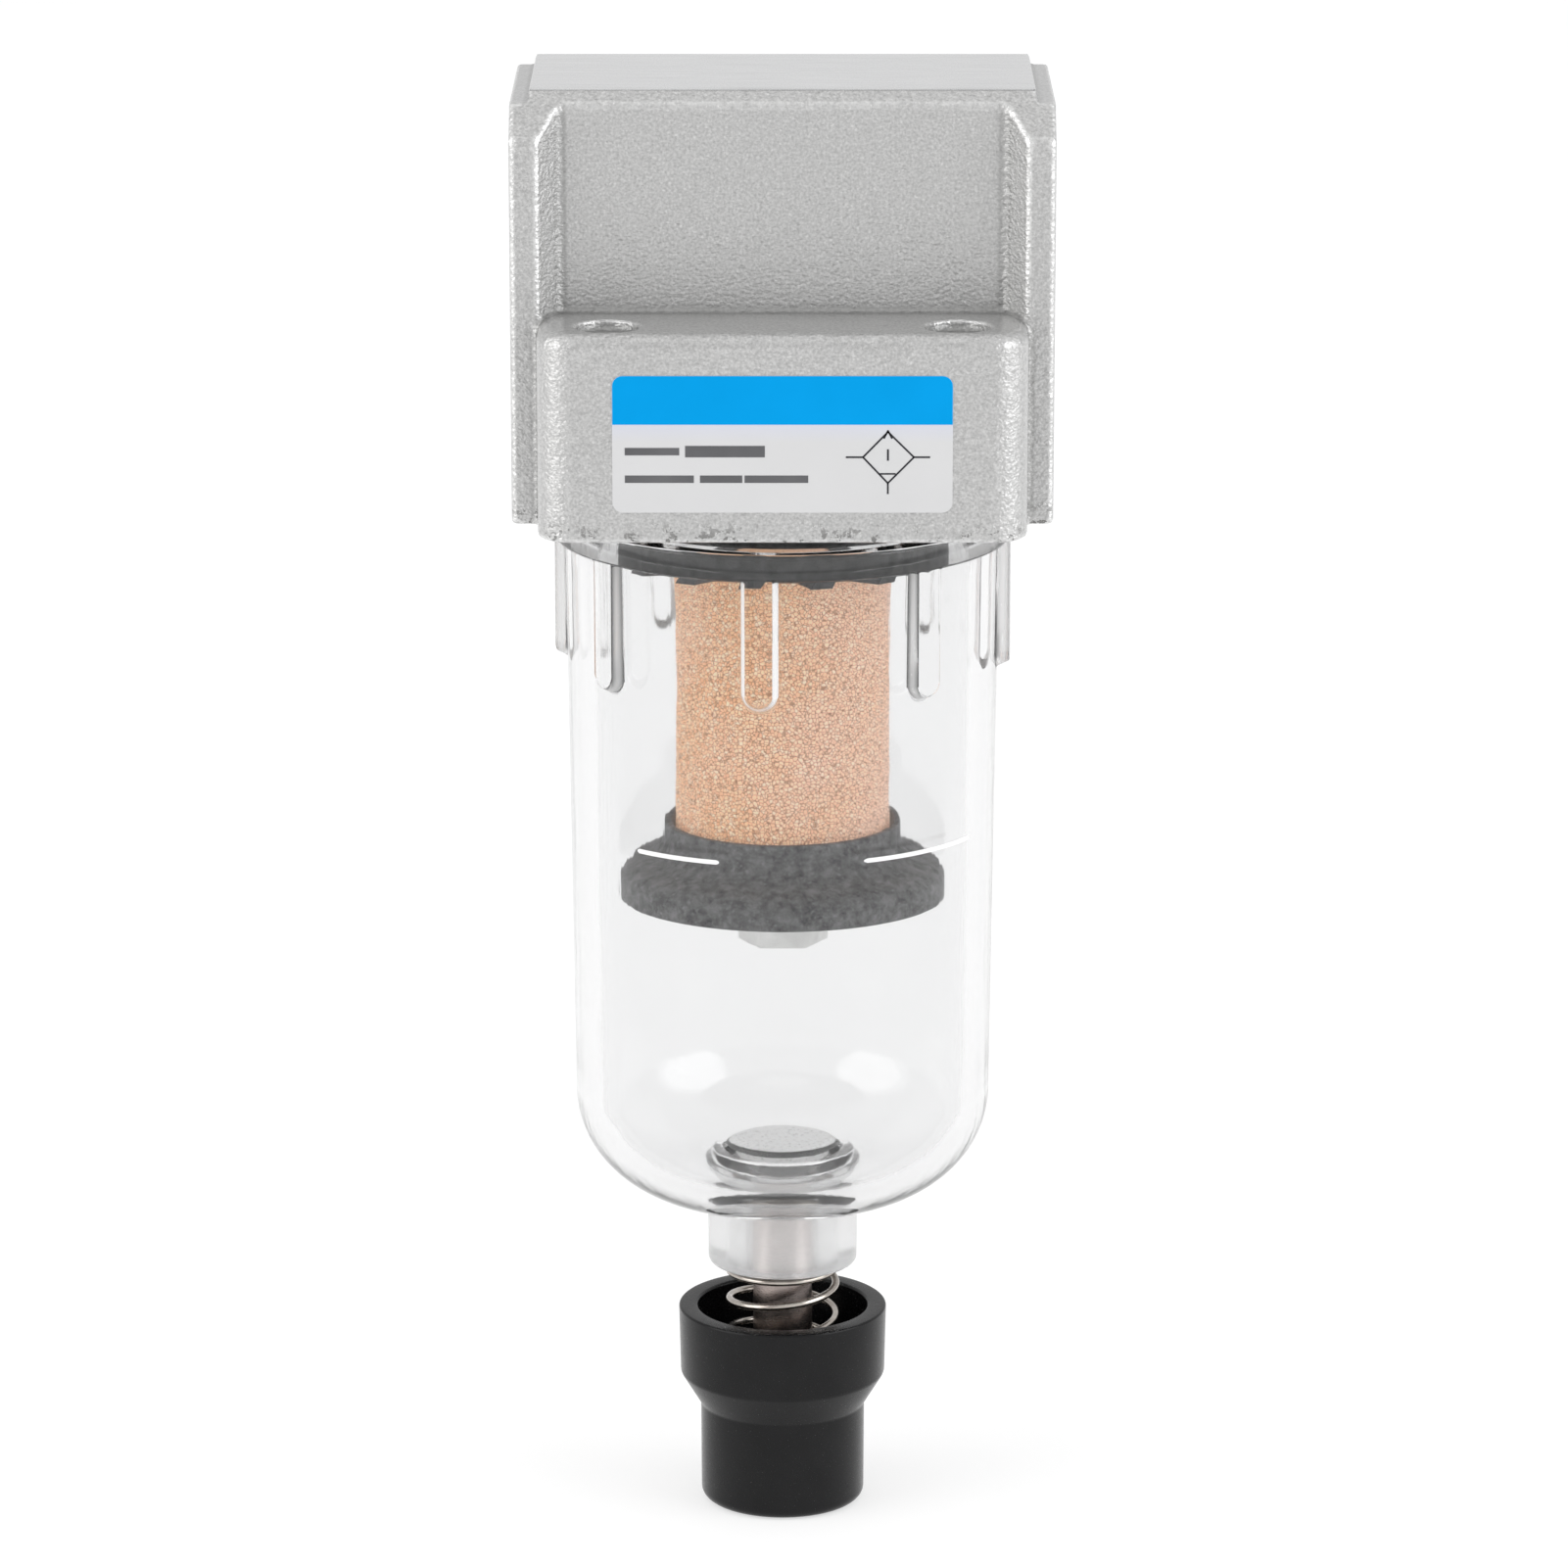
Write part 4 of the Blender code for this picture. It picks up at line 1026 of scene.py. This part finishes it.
# ==========================================================================
# pieces that keep their CAD shape
# ==========================================================================
for node, mat in (("stud_insert", BRASS), ("element_top_gasket", RUBBER), ("element_bottom_gasket", RUBBER),
                  ("element_stud", STEEL), ("spring_washer", STEEL), ("knob_nut", BRASS)):
    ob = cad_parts[node]
    ob.data.materials.clear()
    ob.data.materials.append(mat)


# ==========================================================================
# label
# ==========================================================================
def label_material():
    m = Mat("label_print", Specular_IOR_Level=0.25)
    fibre = m.noise(0.25, 2.0, 0.5)
    wide = m.noise(6.0, 2.0, 0.5)
    base = m.ramp(wide, [(0.3, (0.575, 0.575, 0.58)), (0.7, (0.595, 0.595, 0.60))])
    # the print above has bled a little into the film
    bleed = m.remap(m.height()[2], 0.0876, 0.0889, 0.0, 0.7)
    base = m.mix(bleed, base, (0.56, 0.58, 0.68))
    return m.set(Base_Color=base, Roughness=m.remap(fibre, 0.3, 0.7, 0.34, 0.44), Normal=m.bump(fibre, 0.006, 0.4)).mat


def ink_material(name, dark, light, gloss=0.12):
    m = Mat(name, Specular_IOR_Level=gloss)
    fibre = m.noise(0.25, 2.0, 0.5)
    wide = m.noise(4.0, 2.0, 0.5)
    base = m.ramp(wide, [(0.3, dark), (0.7, light)])
    return m.set(Base_Color=base, Roughness=m.remap(fibre, 0.3, 0.7, 0.32, 0.42), Normal=m.bump(fibre, 0.006, 0.4)).mat


def make_label():
    film = label_material()
    blue = ink_material("label_blue", (0.0014, 0.290, 0.665), (0.0018, 0.302, 0.695), 0.02)
    grey = ink_material("label_grey_ink", (0.10, 0.10, 0.105), (0.13, 0.13, 0.135))
    ink = ink_material("label_ink", (0.02, 0.02, 0.025), (0.035, 0.035, 0.04))
    face = -18.07
    low, high, half, r = 82.35, 92.5, 12.4, 0.75
    bm = bmesh.new()
    outline = []
    for cx, cz, start in ((half - r, low + r, -90), (half - r, high - r, 0), (-half + r, high - r, 90), (-half + r, low + r, 180)):
        for i in range(7):
            a = math.radians(start + 15 * i)
            outline.append((cx + r * math.cos(a), cz + r * math.sin(a)))
    base = bm.faces.new([bm.verts.new(Vector((x, -18.0, z)) * MM) for x, z in outline])
    out = bmesh.ops.extrude_face_region(bm, geom=[base])
    bmesh.ops.translate(bm, verts=[g for g in out["geom"] if isinstance(g, bmesh.types.BMVert)],
                        vec=(0, (face + 18.0) * MM, 0))
    ob = from_bm("label_film", bm, film)
    place(ob, "head", "label_film", "label")

    # the band, clipped to the label's outline
    band_low = 88.9
    bm = bmesh.new()
    pts = [(x, z) for x, z in outline if z > band_low] 
    pts = [(half, band_low)] + [p for p in outline if p[1] > band_low and p[0] > 0] + \
          [p for p in outline if p[1] > band_low and p[0] < 0] + [(-half, band_low)]
    base = bm.faces.new([bm.verts.new(Vector((x * 0.9985, face, z)) * MM) for x, z in pts])
    out = bmesh.ops.extrude_face_region(bm, geom=[base])
    bmesh.ops.translate(bm, verts=[g for g in out["geom"] if isinstance(g, bmesh.types.BMVert)], vec=(0, -0.012 * MM, 0))
    place(from_bm("label_band", bm, blue), "head", "label_film")

    # the general symbol for a filter with a manual drain, and plain rules for the lines of print
    px = 1.0 / 14.16

    def at(x, y):
        return ((x - 800.8) * px, 92.5 - (y - 382.8) * (10.15 / 140.9))

    bm = bmesh.new()

    def stroke(a, b, width=0.13):
        (x0, z0), (x1, z1) = a, b
        d = Vector((x1 - x0, z1 - z0))
        n = Vector((-d.y, d.x)).normalized() * width / 2
        t = d.normalized() * width * 0.3
        quad = [(x0 - t.x + n.x, z0 - t.y + n.y), (x0 - t.x - n.x, z0 - t.y - n.y), (x1 + t.x - n.x, z1 + t.y - n.y), (x1 + t.x + n.x, z1 + t.y + n.y)]
        f = bm.faces.new([bm.verts.new(Vector((x, face, z)) * MM) for x, z in quad])
        out = bmesh.ops.extrude_face_region(bm, geom=[f])
        bmesh.ops.translate(bm, verts=[g for g in out["geom"] if isinstance(g, bmesh.types.BMVert)], vec=(0, -0.014 * MM, 0))

    left, right, top, bottom = at(883.8, 466.3), at(936.3, 466.3), at(909.5, 440.2), at(909.5, 493.1)
    for a, b in ((left, top), (top, right), (right, bottom), (bottom, left)):
        stroke(a, b)
    stroke(at(866.6, 466.3), left)
    stroke(right, at(952.4, 466.3))
    stroke(at(901.8, 483.5), at(917.1, 483.5), 0.12)
    stroke(bottom, at(909.5, 503.8))
    stroke(at(909.5, 458.6), at(909.5, 469.3), 0.14)
    tip = at(909.5, 439.0)
    stroke((tip[0] - 0.28, tip[1] - 0.55), tip, 0.12)
    stroke((tip[0] + 0.28, tip[1] - 0.55), tip, 0.12)
    place(from_bm("label_symbol", bm, ink), "head", "label_film")

    # plain bars stand in the places of the lines of print
    bm = bmesh.new()
    for x0, x1, y, height in ((640.5, 692, 460.5, 0.55), (704, 779, 460.5, 0.85), (640.5, 707, 489.0, 0.55), (718, 757, 489.0, 0.55), (764, 825, 489.0, 0.55)):
        stroke(at(x0, y), at(x1, y), height)
    place(from_bm("label_bars", bm, grey), "head", "label_film")


make_label()


def make_bowl_rules():
    """Two plain white rules printed round the front of the bowl."""
    white = ink_material("bowl_print", (0.86, 0.86, 0.86), (0.90, 0.90, 0.90))
    z, half = 55.2, 0.17
    radius = 16.38 - (75.0 - z) * 0.0127 + 0.02
    bm = bmesh.new()
    for start, end in ((-132, -107), (-68, -30)):
        steps = 40
        rows = []
        for i in range(steps + 1):
            a = math.radians(start + (end - start) * i / steps)
            reach = min(i, steps - i) / steps * math.radians(end - start) * radius
            h = half * min(1.0, math.sqrt(max(0.12, reach / half)))
            rows.append([bm.verts.new(Vector((r * math.cos(a), r * math.sin(a), z + d)) * MM)
                         for r, d in ((radius, -h), (radius, h), (radius + 0.03, h), (radius + 0.03, -h))])
        for one, two in zip(rows, rows[1:]):
            for k in range(4):
                bm.faces.new((one[k], one[(k + 1) % 4], two[(k + 1) % 4], two[k]))
        bm.faces.new(rows[0])
        bm.faces.new(rows[-1][::-1])
    place(from_bm("bowl_rules", bm, white), "bowl", "label_film")


make_bowl_rules()

# ==========================================================================
# floor
# ==========================================================================
floor_mat = Mat("pale_floor", Specular_IOR_Level=0.1, Emission_Color=(1.0, 1.0, 1.0), Emission_Strength=0.60)
tone = floor_mat.noise(60.0, 2.0, 0.5)
floor_mat.set(Base_Color=floor_mat.ramp(tone, [(0.3, (0.44, 0.44, 0.44)), (0.7, (0.46, 0.46, 0.46))]),
              Roughness=floor_mat.remap(tone, 0.3, 0.7, 0.75, 0.85))
floor = add_mesh("floor", [(-6, -6, -0.00005), (6, -6, -0.00005), (6, 6, -0.00005), (-6, 6, -0.00005)], [(0, 1, 2, 3)], floor_mat.mat, smooth=False)
